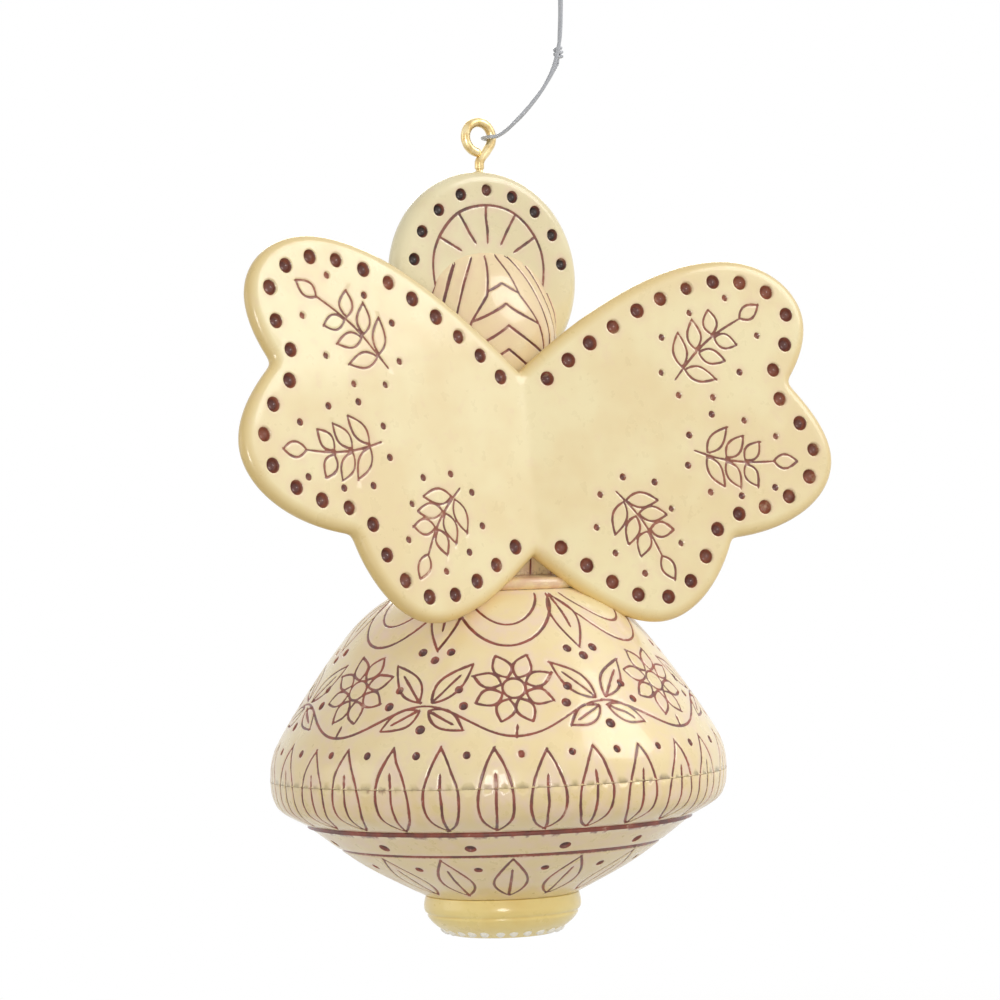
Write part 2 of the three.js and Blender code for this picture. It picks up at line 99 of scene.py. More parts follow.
def grid_faces(rows, columns, closed=True):
    """Four-sided faces between rows of points, which may close round on themselves."""
    faces = []
    for i in range(rows - 1):
        row, above = i * columns, (i + 1) * columns
        for j in range(columns if closed else columns - 1):
            k = (j + 1) % columns
            faces.append((row + j, row + k, above + k, above + j))
    return faces


def turned(profile, columns):
    """A profile of radius and height turned round the upright axis, as points and faces."""
    angle = np.arange(columns) * 2 * np.pi / columns
    radius, height = np.array(profile, float).T
    across = np.outer(radius, np.cos(angle))
    along = np.outer(radius, np.sin(angle))
    up = np.repeat(height[:, None], columns, axis=1)
    points = np.stack([across, along, up], axis=-1).reshape(-1, 3)
    return points, grid_faces(len(radius), columns)


def row_marks(columns, stain, nearby):
    """The stain and the wash near it on a turned part, given row by row."""
    return np.stack([np.repeat(stain, columns), np.repeat(nearby, columns)], axis=1)


def joined(*parts):
    """Several lists of points, faces and marks as one."""
    points, faces, marks = [], [], []
    start = 0
    for part in parts:
        some = np.array(part[0], float)
        points.append(some)
        faces += [tuple(int(i) + start for i in face) for face in part[1]]
        given = np.zeros((len(some), len(MARKS)))
        if len(part) > 2:
            given[:, :part[2].shape[1]] = part[2]
        marks.append(given)
        start += len(some)
    return np.concatenate(points), faces, np.concatenate(marks)


def new_object(name, data):
    """An object in the scene."""
    thing = bpy.data.objects.new(name, data)
    bpy.context.scene.collection.objects.link(thing)
    return thing


def make_piece(name, parts, material, body, slot, *nodes):
    """A welded mesh that carries how deep the stain lies, rides a body and stands for CAD nodes."""
    points, faces, marks = joined(*parts)
    mesh = bpy.data.meshes.new(name)
    mesh.from_pydata(((points + (0, 0, ground)) * MM).tolist(), [], faces)
    for k, label in enumerate(MARKS):
        layer = mesh.attributes.new(label, "FLOAT", "POINT")
        layer.data.foreach_set("value", marks[:, k].astype(np.float32))
    welded = bmesh.new()
    welded.from_mesh(mesh)
    bmesh.ops.remove_doubles(welded, verts=welded.verts, dist=0.004 * MM)
    bmesh.ops.recalc_face_normals(welded, faces=welded.faces)
    welded.to_mesh(mesh)
    welded.free()
    mesh.shade_smooth()
    mesh.materials.append(material)
    piece = new_object(name, mesh)
    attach(piece, body)
    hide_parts(*nodes)
    return piece


def noise(tree, where, scale, detail=2.0, roughness=0.5):
    """Cloudy noise over a surface."""
    node = tree.nodes.new("ShaderNodeTexNoise")
    for label, value in (("Scale", scale), ("Detail", detail), ("Roughness", roughness)):
        node.inputs[label].default_value = value
    tree.links.new(where, node.inputs["Vector"])
    return node.outputs["Fac"]


def limits(tree, value, low, high, start=0.0, end=1.0, easing="SMOOTHSTEP"):
    """A value taken from one span to another and held inside it."""
    node = tree.nodes.new("ShaderNodeMapRange")
    node.interpolation_type = easing
    tree.links.new(value, node.inputs["Value"])
    for label, number in (("From Min", low), ("From Max", high), ("To Min", start), ("To Max", end)):
        node.inputs[label].default_value = number
    return node.outputs["Result"]


def reckon(tree, operation, first, second):
    """Two values, or a value and a plain number, put together."""
    node = tree.nodes.new("ShaderNodeMath")
    node.operation = operation
    for k, value in enumerate((first, second)):
        if isinstance(value, float):
            node.inputs[k].default_value = value
        else:
            tree.links.new(value, node.inputs[k])
    return node.outputs[0]


def blend(tree, share, first, second):
    """A colour between two others, by the share of the second."""
    node = tree.nodes.new("ShaderNodeMix")
    node.data_type = "RGBA"
    tree.links.new(share, node.inputs["Factor"])
    for label, value in (("A", first), ("B", second)):
        socket = [s for s in node.inputs if s.name == label and s.type == "RGBA"][0]
        if isinstance(value, tuple):
            socket.default_value = value
        else:
            tree.links.new(value, socket)
    return [s for s in node.outputs if s.type == "RGBA"][0]


def stained_resin():
    """The shared finish: mottled ivory, pinkish wash near the carving, brown stain in it, and specks."""
    group = bpy.data.node_groups.new("stained_resin", "ShaderNodeTree")
    for label in ("Light", "Deep", "Wash", "Edge tone and painted light", "Stain", "Stain deep"):
        group.interface.new_socket(label, in_out="INPUT", socket_type="NodeSocketColor")
    group.interface.new_socket("Wash amount", in_out="INPUT", socket_type="NodeSocketFloat")
    group.interface.new_socket("Color", in_out="OUTPUT", socket_type="NodeSocketColor")
    for label in ("Roughness", "Height"):
        group.interface.new_socket(label, in_out="OUTPUT", socket_type="NodeSocketFloat")
    given = group.nodes.new("NodeGroupInput").outputs
    result = group.nodes.new("NodeGroupOutput").inputs
    place = group.nodes.new("ShaderNodeTexCoord")
    scaled = group.nodes.new("ShaderNodeVectorMath")
    scaled.operation = "SCALE"
    scaled.inputs["Scale"].default_value = 1 / MM
    group.links.new(place.outputs["Object"], scaled.inputs[0])
    marked = {}
    for label in MARKS:
        node = group.nodes.new("ShaderNodeAttribute")
        node.attribute_name = label
        marked[label] = node.outputs["Fac"]

    def spread(value, low, high, start=0.0, end=1.0):
        return limits(group, value, low, high, start, end)

    def times(first, second):
        return reckon(group, "MULTIPLY", first, second)

    sizes_and_details = ((0.09, 3.0), (0.45, 4.0), (2.6, 3.0), (9.0, 2.0))
    broad, patch, grain, fine = (noise(group, scaled.outputs[0], scale, detail, 0.55)
                                 for scale, detail in sizes_and_details)
    ivory = blend(group, spread(broad, 0.36, 0.66), given["Light"], given["Deep"])
    soak = times(spread(marked["nearby"], 0.15, 0.95), spread(patch, 0.3, 0.72))
    cloud = times(spread(patch, 0.56, 0.75), 0.45)
    washed = times(reckon(group, "MAXIMUM", soak, cloud), given["Wash amount"])
    # The edge colour goes on here: a yellower resin tone, painted shade on the wing edges, and a painted
    # highlight on the beads.
    toned_and_painted_light = blend(group, marked["rim"], ivory, given["Edge tone and painted light"])
    tinted = blend(group, washed, toned_and_painted_light, given["Wash"])
    specked = blend(group, times(spread(grain, 0.76, 0.8), 0.3), tinted, srgb(150, 108, 78))
    ragged = reckon(group, "ADD", marked["stain"], times(reckon(group, "SUBTRACT", grain, 0.5), 0.2))
    stain = times(spread(ragged, 0.05, 0.23), spread(patch, 0.62, 0.74, 1.0, 0.55))
    thick = reckon(group, "MAXIMUM", spread(patch, 0.36, 0.64, 0.75, 0.0), spread(marked["stain"], 0.64, 0.9))
    brown = blend(group, thick, given["Stain"], given["Stain deep"])
    varnish = reckon(group, "ADD", spread(patch, 0.3, 0.7, 0.26, 0.4), times(stain, 0.2))
    group.links.new(blend(group, stain, specked, brown), result["Color"])
    group.links.new(varnish, result["Roughness"])
    group.links.new(reckon(group, "ADD", times(fine, 0.25), grain), result["Height"])
    return group


finish_group = stained_resin()


def new_material(name):
    """A material, its nodes and its one shader."""
    material = bpy.data.materials.new(name)
    material.use_nodes = True
    return material, material.node_tree, material.node_tree.nodes["Principled BSDF"]


def resin(name, light, deep, wash, wash_amount, stain=srgb(140, 74, 52), stain_deep=srgb(78, 34, 26),
          rim=srgb(227, 198, 128)):
    """Glossy cast resin in its own tone, with the shared wash and stain."""
    material, tree, shader = new_material(name)
    shader.inputs["Coat Weight"].default_value = 0.5
    shader.inputs["Coat Roughness"].default_value = 0.07
    group = tree.nodes.new("ShaderNodeGroup")
    group.node_tree = finish_group
    for label, value in (("Light", light), ("Deep", deep), ("Wash", wash), ("Wash amount", wash_amount),
                         ("Stain", stain), ("Stain deep", stain_deep), ("Edge tone and painted light", rim)):
        group.inputs[label].default_value = value
    bump = tree.nodes.new("ShaderNodeBump")
    bump.inputs["Strength"].default_value = 0.06
    bump.inputs["Distance"].default_value = 0.1 * MM
    tree.links.new(group.outputs["Color"], shader.inputs["Base Color"])
    tree.links.new(group.outputs["Roughness"], shader.inputs["Roughness"])
    tree.links.new(group.outputs["Height"], bump.inputs["Height"])
    tree.links.new(bump.outputs["Normal"], shader.inputs["Normal"])
    return material


# The foot's edge colour is near white and lies only on the beads, as a painted highlight for their glints.
# Its darker yellow wash also fills the crease as painted shade.
foot_resin = resin("foot_resin", srgb(250, 228, 150), srgb(245, 217, 134), srgb(240, 206, 118), 0.6,
                   rim=srgb(255, 252, 242))
foot_edge = smooth([
    (foot_base_radius, 0),
    ((foot_base_radius + 2 * foot_radius) / 3, foot_height * 0.3),
    (foot_radius, foot_height * 0.66),
    (foot_top_radius, foot_height),
], 40)
crease = np.exp(-((foot_edge[:, 1] - crease_height) / crease_width) ** 2)
foot_edge[:, 0] -= crease_depth * crease
spigot_top = foot_height + spigot_length
foot_under = [(axis_gap, foot_recess), (foot_base_radius - 1.2, foot_recess), (foot_base_radius - 0.8, 0)]
foot_spigot = [(spigot_radius, foot_height), (spigot_radius, spigot_top), (axis_gap, spigot_top)]
foot_profile = np.concatenate([foot_under, foot_edge, foot_spigot])
# The foot's darker yellow wash is laid in the shallow crease as painted shade.
crease_painted_shade = np.concatenate([np.zeros(len(foot_under)), crease, np.zeros(len(foot_spigot))])
foot_marks = row_marks(foot_columns, np.zeros(len(foot_profile)), crease_painted_shade)
foot_parts = [(*turned(foot_profile, foot_columns), foot_marks)]
half_round = [(math.cos(a), math.sin(a)) for a in np.linspace(-1.4, 1.4, 9)]
ball_points, ball_faces = turned([(axis_gap, -1), *half_round, (axis_gap, 1)], 14)
# Each bead is wholly in the near-white edge colour, a painted highlight.
ball_marks = np.tile([0.0, 0.0, 1.0], (len(ball_points), 1))
for i in range(foot_beads):
    turn = 2 * math.pi * (i + dice.uniform(-0.08, 0.08)) / foot_beads
    reach = foot_base_radius + bead_radius
    middle = (reach * math.cos(turn), reach * math.sin(turn), bead_radius * 1.2)
    bead = ball_points * bead_radius * dice.uniform(0.9, 1.0) + middle
    foot_parts.append((bead, ball_faces, ball_marks))
make_piece("foot_cast", foot_parts, foot_resin, "angel", "resin", "foot")


# Skirt bowl: the lower half of the skirt, a cast cone under a rolled hem, with a narrow groove between them.
# It is glued to the bell along the mould seam, and its lip reaches up inside. Leaves are carved underneath.
seam_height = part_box("skirt_bell")[0].z / MM - ground - glue_gap
seam_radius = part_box("skirt_bowl")[1].x / MM
hem_roll = 5.9
hem_inset = 4.1
hem_height = seam_height - hem_roll
hem_radius = seam_radius - hem_inset
hem_groove_width = 0.7
hem_groove_radius = hem_radius - 0.8
hem_leaf_tip = 5.2
hem_leaf_width = 4.5
hem_leaf_start = 0.3
cone_top_radius = hem_radius - 1.0
cone_foot = foot_height + 0.08
cone_bulge = 0.9
cone_leaf_radius = 11.0
cone_leaf_length = 10.6
cone_leaf_width = 4.2
cone_dot_radius = 18.8
second_groove_radius = 21.7
band_radius = 23.3
band_pits = 12
skirt_wall = 2.4
lip_height = 2.2
lip_wall = 1.2
skirt_repeats = 7
hem_leaves = 4 * skirt_repeats
skirt_columns = 240
line_half = 0.25
line_depth = 0.26
guard = 0.16
guide_step = 0.2
sample_step = 0.07
crowd_cell = 0.4
seam_knots = 72


def along(curve, step):
    """Points at even steps along a curve, which may have two or three coordinates."""
    curve = np.array(curve, float)
    gaps = np.linalg.norm(np.diff(curve, axis=0), axis=1)
    run = np.concatenate([[0], np.cumsum(gaps)])
    count = max(int(round(run[-1] / step)), 2)
    at = np.linspace(0, run[-1], count + 1)
    return np.stack([np.interp(at, run, column) for column in curve.T], axis=1)


def wobble(curve, size):
    """A hand-drawn line: the curve with a slow waver of that size."""
    count = len(curve)
    knots = dice.normal(0, size, (max(count // 14, 2) + 2, curve.shape[1]))
    at = np.linspace(0, len(knots) - 1, count)
    return curve + np.stack([np.interp(at, np.arange(len(knots)), k) for k in knots.T], axis=1)


def lancet(base, heading, length, width, rib=0.7):
    """The outline of a pointed leaf and its midrib, as strokes on a flat sheet."""
    t = np.linspace(0, 1, 24)
    side = np.sin(np.pi * t ** 0.85) * width / 2
    run = t * length
    strokes = [np.stack([run, lean * side], axis=1) for lean in (1, -1)]
    if rib:
        strokes.append(np.stack([run * rib, 0 * run], axis=1))
    turn = np.array([[math.cos(heading), math.sin(heading)], [-math.sin(heading), math.cos(heading)]])
    return [s @ turn + base for s in strokes]


def closed_outline(sides):
    """Two strokes from the same start to the same end, as one closed loop."""
    return np.concatenate([sides[0], sides[1][::-1]])


def within(loop):
    """A test for sheet points inside a closed loop."""
    loop = np.array(loop)
    following = np.roll(loop, -1, axis=0)

    def test(points):
        count = np.zeros(len(points), int)
        for (x0, y0), (x1, y1) in zip(loop, following):
            crosses = (y0 > points[:, 1]) != (y1 > points[:, 1])
            if crosses.any():
                x = x0 + (points[:, 1] - y0) * (x1 - x0) / ((y1 - y0) or 1e-12)
                count += crosses & (points[:, 0] < x)
        return count % 2 == 1

    return test


def stroke_guides(place, find, strokes):
    """Carved lines as close samples with half widths and depths, and points on, beside and round them."""
    samples, halves, depths = [], [], []
    on_line, on_edge, outside = [], [], []
    swell_at = np.linspace(0, 1, 9)
    for run, half, depth in strokes:
        base, normal = place(find(along(place(run)[0], guide_step)))
        heading = np.gradient(base, axis=0)
        heading /= np.linalg.norm(heading, axis=1)[:, None] + 1e-9
        beside = np.cross(normal, heading)
        swell = half * dice.uniform(0.82, 1.14, len(swell_at))
        swell[[0, -1]] *= 0.85
        width = np.interp(np.linspace(0, 1, len(base)), swell_at, swell)[:, None]
        on_line.append(base)
        for lean in (1, -1):
            on_edge.append(base + lean * width * beside)
            outside.append(base + lean * (width + guard) * beside)
        for end, way in ((0, -1), (-1, 1)):
            beyond = (base[end] + way * (width[end] + guard) * heading[end])[None]
            if np.linalg.norm(place(find(beyond))[0] - beyond) < 0.05:
                outside.append(beyond)
        dense = along(base, sample_step)
        samples.append(dense)
        halves.append(np.interp(np.linspace(0, 1, len(dense)), swell_at, swell))
        depths.append(np.full(len(dense), depth))
    return [np.concatenate(rows) for rows in (samples, halves, depths, on_line, on_edge, outside)]


def pit_guides(place, pits):
    """The middles of round pits, and rings of points in and round them."""
    middles = []
    rings = []
    for spot, radius, depth, taken_up in pits:
        base, normal = place(np.array([spot]))
        across = np.cross(normal[0], (0.31, 0.42, 0.85))
        across /= np.linalg.norm(across)
        other = np.cross(normal[0], across)
        middles.append(base[0])
        rings.append(base)
        for share, count in ((1.0, 20), (0.86, 18), (0.55, 10), (1 + guard / radius, 20)):
            a = np.arange(count) * 2 * np.pi / count
            spread = np.outer(np.cos(a), across) + np.outer(np.sin(a), other)
            rings.append(base + spread * radius * share)
    return np.array(middles), np.concatenate(rings)


def sheet_faces(flat, border, wraps):
    """Triangles over sheet points, inside a border loop or all the way round a turned sheet."""
    owner = np.arange(len(flat))
    whole = flat
    edges = []
    if wraps:
        overlap = 0.5
        high = flat[:, 0] > np.pi - overlap
        low = flat[:, 0] < overlap - np.pi
        whole = np.concatenate([flat, flat[high] - (2 * np.pi, 0), flat[low] + (2 * np.pi, 0)])
        owner = np.concatenate([owner, owner[high], owner[low]])
    else:
        count = len(border[0])
        edges = [(k, (k + 1) % count) for k in range(count)]
    cut = delaunay_2d_cdt([Vector(p) for p in whole.tolist()], edges, [], 0, 1e-7)
    corners = np.array([v[:] for v in cut[0]])
    origin = np.array([o[0] for o in cut[3]])
    faces = np.array([f for f in cut[2] if len(f) == 3])
    middles = corners[faces].mean(axis=1)
    if wraps:
        faces = faces[(middles[:, 0] >= -np.pi) & (middles[:, 0] < np.pi)]
    else:
        faces = faces[within(border[0])(middles)]
    return owner[origin[faces]].tolist()


def carved_sheet(place, find, strokes, pits, border, field, wraps=False, fills=()):
    """A surface with carved lines and round pits, as points, faces and marks.

    place gives points and normals for sheet coordinates and find goes back. A stroke is a run of
    sheet points with a half width and depth. A pit is a sheet point with a radius, a depth and how
    well its stain has taken. Fills are closed outlines that hold more of the wash."""
    tree = None
    if strokes:
        samples, halves, depths, on_line, on_edge, outside = stroke_guides(place, find, strokes)
        tree = kdtree.KDTree(len(samples))
        for k, point in enumerate(samples):
            tree.insert(point, k)
        tree.balance()
    if pits:
        pit_middles, pit_rings = pit_guides(place, pits)
        pit_radii = np.array([radius for spot, radius, depth, taken_up in pits])
    taken = {}
    kept = []

    def crowded(point, cell, gap):
        for step in product((-1, 0, 1), repeat=3):
            for other in taken.get((cell[0] + step[0], cell[1] + step[1], cell[2] + step[2]), ()):
                away = [a - b for a, b in zip(other, point)]
                if away[0] ** 2 + away[1] ** 2 + away[2] ** 2 < gap * gap:
                    return True
        return False

    def offer(points, gap, clear_line, clear_pit):
        """Keep the points that lie so far from others, from carved lines and from pits."""
        for point in points:
            if clear_line and tree is not None:
                k, far = tree.find(point)[1:]
                if far < halves[k] * clear_line:
                    continue
            if clear_pit and pits:
                if (np.linalg.norm(pit_middles - point, axis=1) < pit_radii * clear_pit).any():
                    continue
            cell = tuple((point // crowd_cell).astype(int).tolist())
            spot = tuple(point.tolist())
            if not crowded(spot, cell, gap):
                taken.setdefault(cell, []).append(spot)
                kept.append(spot)

    for loop in border:
        offer(place(loop)[0], 0.0, 0, 0)
    border_count = len(kept)
    if pits:
        offer(pit_rings, 0.09, 0, 0)
    if strokes:
        offer(on_line, 0.1, 0, 1.05)
        offer(on_edge, 0.1, 0.85, 1.05)
        offer(outside, 0.12, 1.2, 1.05)
    offer(place(field)[0], 0.34, 1.8, 1.3)
    flat = find(np.array(kept))
    flat[:border_count] = np.concatenate(border)
    if wraps:
        flat[:, 0] = (flat[:, 0] + np.pi) % (2 * np.pi) - np.pi
    base, normal = place(flat)
    sunk = np.zeros(len(base))
    marks = np.zeros((len(base), len(MARKS)))
    if strokes:
        found = [tree.find(point)[1:] for point in base]
        which = np.array([k for k, far in found])
        far = np.array([far for k, far in found])
        share = np.clip(1 - far / halves[which], 0, 1)
        sunk = depths[which] * share
        marks[:, STAIN] = 0.6 * share
        marks[:, NEARBY] = np.exp(-np.maximum(far - halves[which], 0) / 0.9)
    for k, (spot, radius, depth, taken_up) in enumerate(pits):
        share = np.linalg.norm(base - pit_middles[k], axis=1) / radius
        sunk = np.maximum(sunk, depth * np.clip(1 - share ** 4, 0, 1))
        marks[:, STAIN] = np.maximum(marks[:, STAIN], np.clip((1 - share) * 5, 0, 1) * taken_up)
        marks[:, NEARBY] = np.maximum(marks[:, NEARBY], np.exp(-np.maximum(share - 1, 0) * radius / 0.7))
    for loop in fills:
        for shift in (-2 * np.pi, 0, 2 * np.pi):
            moved = loop + (shift, 0)
            close = ((flat >= moved.min(axis=0)) & (flat <= moved.max(axis=0))).all(axis=1)
            close = np.flatnonzero(close)
            held = close[within(moved)(flat[close])]
            marks[held, NEARBY] = np.maximum(marks[held, NEARBY], 0.9)
    return base - normal * sunk[:, None], sheet_faces(flat, border, wraps), marks


def at_least(part, mark, amount):
    """Raise one mark of a carved part to that amount, where it is lower."""
    part[2][:, mark] = np.maximum(part[2][:, mark], amount)


def turning(profile, flatten=1.0):
    """Sheet coordinates for a turned surface: the angle, and a height that keeps shapes true."""
    radius, height = np.array(profile, float).T
    step = np.hypot(np.diff(radius), np.diff(height))
    run = np.concatenate([[0], np.cumsum(step)])
    true_height = np.concatenate([[0], np.cumsum(step / ((radius[1:] + radius[:-1]) / 2))])
    slope_r = np.gradient(radius, run)
    slope_z = np.gradient(height, run)

    def place(flat):
        flat = np.array(flat, float)
        r = np.interp(flat[:, 1], true_height, radius)
        z = np.interp(flat[:, 1], true_height, height)
        nr = np.interp(flat[:, 1], true_height, slope_z)
        nz = -np.interp(flat[:, 1], true_height, slope_r)
        cos, sin = np.cos(flat[:, 0]), np.sin(flat[:, 0])
        normal = np.stack([nr * cos * flatten, nr * sin, nz * flatten], axis=1)
        normal /= np.linalg.norm(normal, axis=1)[:, None]
        return np.stack([r * cos, r * sin * flatten, z], axis=1), normal

    def find(points):
        angle = np.arctan2(points[:, 1] / flatten, points[:, 0])
        return np.stack([angle, np.interp(points[:, 2], height, true_height)], axis=1)

    def at(angle, distance):
        """Sheet coordinates of points by their angle and distance up from the lower edge."""
        return np.stack([angle + 0 * distance, np.interp(distance, run, true_height)], axis=1)

    def around(points, angle, distance):
        """Sheet coordinates of a flat motif in millimetres, set at an angle and a distance up."""
        points = np.array(points, float)
        up = distance + points[:, 1]
        r = np.interp(up, run, radius)
        return at(angle - points[:, 0] / r, up)

    return place, find, at, around, run[-1], true_height[-1]


def turned_field(columns, tall, step):
    """Border rows and a loosely set field of points for a turned sheet."""
    angle = -np.pi + (np.arange(columns) + 0.5) * 2 * np.pi / columns
    rows = max(int(tall / step), 2)
    border = [np.stack([angle, 0 * angle], axis=1), np.stack([angle, 0 * angle + tall], axis=1)]
    spots = []
    for i in range(1, rows):
        shift = 0.5 * (i % 2) * 2 * np.pi / columns
        row = np.stack([angle + shift, 0 * angle + tall * i / rows], axis=1)
        spots.append(row + dice.uniform(-0.12, 0.12, row.shape) * (2 * np.pi / columns))
    return border, np.concatenate(spots)


def lathe_ring(profile, columns, flatten=1.0):
    """A plain turned surface whose columns meet those of a carved one."""
    points, faces = turned(profile, columns)
    shift = -np.pi + np.pi / columns
    cos, sin = math.cos(shift), math.sin(shift)
    x, y = points[:, 0].copy(), points[:, 1].copy()
    points[:, 0] = x * cos - y * sin
    points[:, 1] = (x * sin + y * cos) * flatten
    return points, faces


groove_top = hem_height + hem_groove_width / 2
groove_bottom = hem_height - hem_groove_width / 2
cone_middle_radius = (cone_top_radius + foot_top_radius) / 2 + cone_bulge / 2
cone = smooth([
    (foot_top_radius, cone_foot),
    (cone_middle_radius, (groove_bottom + cone_foot) / 2 - cone_bulge / 2),
    (cone_top_radius, groove_bottom),
], 90)
roll = smooth([
    (hem_radius, groove_top),
    (seam_radius - 0.32 * hem_inset, seam_height - 0.66 * hem_roll),
    (seam_radius - 0.07 * hem_inset, seam_height - 0.37 * hem_roll),
    (seam_radius, seam_height),
], 36)
skirt_resin = resin("skirt_resin", srgb(249, 230, 180), srgb(244, 221, 166), srgb(244, 217, 195), 0.85,
                    srgb(158, 80, 60), srgb(88, 48, 44))
place, find, at, around, cone_run, cone_tall = turning(cone)
cone_strokes = []
cone_pits = []
cone_fills = []


def cone_distance(radius):
    """How far up the cone it has that radius."""
    return float(np.interp(radius, cone[:, 0], np.linspace(0, cone_run, len(cone))))


whole_turn = np.linspace(-np.pi, np.pi, 400)
circle = at(whole_turn, np.full(len(whole_turn), cone_distance(second_groove_radius)))
cone_strokes.append((circle, 0.5, 0.4))
for i in range(2 * skirt_repeats):
    turn = -np.pi + 0.2 + (i + dice.uniform(-0.04, 0.04)) * np.pi / skirt_repeats
    leaf = lancet((0, 0), math.pi / 2, cone_leaf_length, cone_leaf_width, 0.74)
    leaf = [around(wobble(stroke, 0.05), turn, cone_distance(cone_leaf_radius)) for stroke in leaf]
    cone_fills.append(closed_outline(leaf))
    cone_strokes += [(stroke, line_half, line_depth) for stroke in leaf]
    spot = around([(0, 0)], turn + np.pi / skirt_repeats / 2, cone_distance(cone_dot_radius))[0]
    cone_pits.append((spot, 0.6, 0.4, 1.0))
for i in range(band_pits):
    turn = -np.pi + 0.33 + (i + dice.uniform(-0.04, 0.04)) * np.pi / (band_pits / 2)
    spot = around([(0, 0)], turn, cone_distance(band_radius))[0]
    cone_pits.append((spot, 0.78, 0.6, 1.0))
border, field = turned_field(skirt_columns, cone_tall, 0.035)
carved_cone = carved_sheet(place, find, cone_strokes, cone_pits, border, field, wraps=True, fills=cone_fills)
at_least(carved_cone, NEARBY, 0.7 * (carved_cone[0][:, 2] > hem_height - 2.2))
at_least(carved_cone, EDGE_TONE_AND_PAINTED_LIGHT, 0.3)
groove_wall_radius = hem_groove_radius + 0.2
groove_profile = [
    tuple(cone[-1]), (groove_wall_radius, groove_bottom + 0.1), (hem_groove_radius, hem_height),
    (groove_wall_radius, groove_top - 0.1), tuple(roll[0]),
]
groove_marks = row_marks(skirt_columns, [0.2, 0.5, 0.5, 0.5, 0.1], [0.9] * len(groove_profile))
groove_part = (*lathe_ring(groove_profile, skirt_columns), groove_marks)
place, find, at, around, roll_run, roll_tall = turning(roll)
roll_strokes = []
roll_fills = []
upper_leaves = []
for i in range(hem_leaves):
    turn = -np.pi / 2 + (i + 0.5 + dice.uniform(-0.05, 0.05)) * 2 * np.pi / hem_leaves
    length = roll_run - hem_leaf_start + hem_leaf_tip * dice.uniform(0.92, 1.06)
    leaf = lancet((0, hem_leaf_start - roll_run), math.pi / 2, length, hem_leaf_width, 0.72)
    leaf = [wobble(along(stroke, 0.15), 0.06) for stroke in leaf]
    lower = [around(stroke[stroke[:, 1] < 0.1], turn, roll_run) for stroke in leaf]
    upper_leaves.append((turn, [stroke[stroke[:, 1] > -0.1] for stroke in leaf]))
    roll_fills.append(closed_outline(lower))
    roll_strokes += [(stroke, line_half, line_depth) for stroke in lower]
border, field = turned_field(skirt_columns, roll_tall, 0.032)
carved_roll = carved_sheet(place, find, roll_strokes, [], border, field, wraps=True, fills=roll_fills)
seam_waver = dice.uniform(0.0, 0.19, seam_knots)


def seam_stain(points):
    """A thin, broken line of stain along the seam."""
    knot = (np.arctan2(points[:, 1], points[:, 0]) / (2 * np.pi) + 0.5) * seam_knots
    amount = np.interp(knot, np.arange(seam_knots + 1), np.append(seam_waver, seam_waver[0]))
    return amount * (np.abs(points[:, 2] - seam_height) < 0.05)


at_least(carved_roll, STAIN, seam_stain(carved_roll[0]))
at_least(carved_roll, NEARBY, np.exp(-(carved_roll[0][:, 2] - groove_top) / 0.6))
at_least(carved_roll, EDGE_TONE_AND_PAINTED_LIGHT, 0.4)
lip_radius = seam_radius - skirt_wall - 0.8
lip_inside = lip_radius - lip_wall
lip_top = seam_height + lip_height
socket_radius = spigot_radius + glue_gap
socket_top = spigot_top + glue_gap
bowl_inside = lathe_ring([
    tuple(roll[-1]), (lip_radius, seam_height), (lip_radius, lip_top), (lip_inside, lip_top),
    (lip_inside, seam_height), (hem_groove_radius - skirt_wall, hem_height),
    (socket_radius + skirt_wall, socket_top), (socket_radius, socket_top), (socket_radius, cone_foot),
    tuple(cone[0]),
], skirt_columns)
make_piece("skirt_bowl_cast", [carved_cone, groove_part, carved_roll, bowl_inside],
           skirt_resin, "angel", "resin", "skirt_bowl")


# Skirt bell: the upper half of the skirt, cast hollow and carved all round with swags, a vine and leaves.
# Its open lower edge is glued over the lip of the bowl, and the bodice's spigot sits in its top.
skirt_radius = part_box("skirt_bell")[1].x / MM
waist_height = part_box("skirt_bell")[1].z / MM - ground
waist_radius = 12.8
waist_socket_radius = 4.3
waist_socket_depth = 3.4
bell_spread = skirt_radius - waist_radius
bell_rise = waist_height - seam_height
swag_drops_and_insets = ((9.4, 0.02), (6.0, 0.15))
swag_leaf_length = 9.6
swag_leaf_width = 3.7
vine_middle = 9.0
vine_swing = 2.3
vine_top = vine_middle + vine_swing
daisy_up = 13.6
daisy_eye = 1.45
daisy_petals = 8
petal_start = 1.7
petal_length = 3.6
petal_width = 2.3
dot_radius = 0.62
bell = smooth([
    (skirt_radius, seam_height + 0.03),
    (waist_radius + 0.95 * bell_spread, seam_height + 0.18 * bell_rise),
    (waist_radius + 0.64 * bell_spread, seam_height + 0.53 * bell_rise),
    (waist_radius + 0.3 * bell_spread, seam_height + 0.84 * bell_rise),
    (waist_radius, waist_height),
], 160)
place, find, at, around, bell_run, bell_tall = turning(bell)
swag_top = bell_run - 0.9
bell_strokes = []
bell_pits = []
bell_fills = []


def uneven(full=0.85):
    """How well the stain has taken in one pit: fully in that share of them, and more thinly in the rest."""
    return dice.uniform(0.8, 1.0) if dice.uniform() < full else dice.uniform(0.24, 0.5)


def bell_line(run):
    """Carve one line into the bell, a little finer or broader than the others."""
    bell_strokes.append((run, line_half * dice.uniform(0.9, 1.12), line_depth))


def bell_outline(sides):
    """Carve lines whose first two close a shape, and wash the shape."""
    bell_fills.append(closed_outline(sides))
    for stroke in sides:
        bell_line(stroke)


def bell_leaf(base, heading, length, width, rib, turn, up):
    """Carve a leaf round the bell."""
    strokes = lancet(base, heading, length, width, rib)
    bell_outline([around(wobble(stroke, 0.05), turn, up) for stroke in strokes])


def bell_dots(points, turn, up, radius=dot_radius):
    """Drill small pits round the bell."""
    for spot in around(points, turn, up):
        bell_pits.append((spot, radius * dice.uniform(0.92, 1.08), 0.42, uneven()))


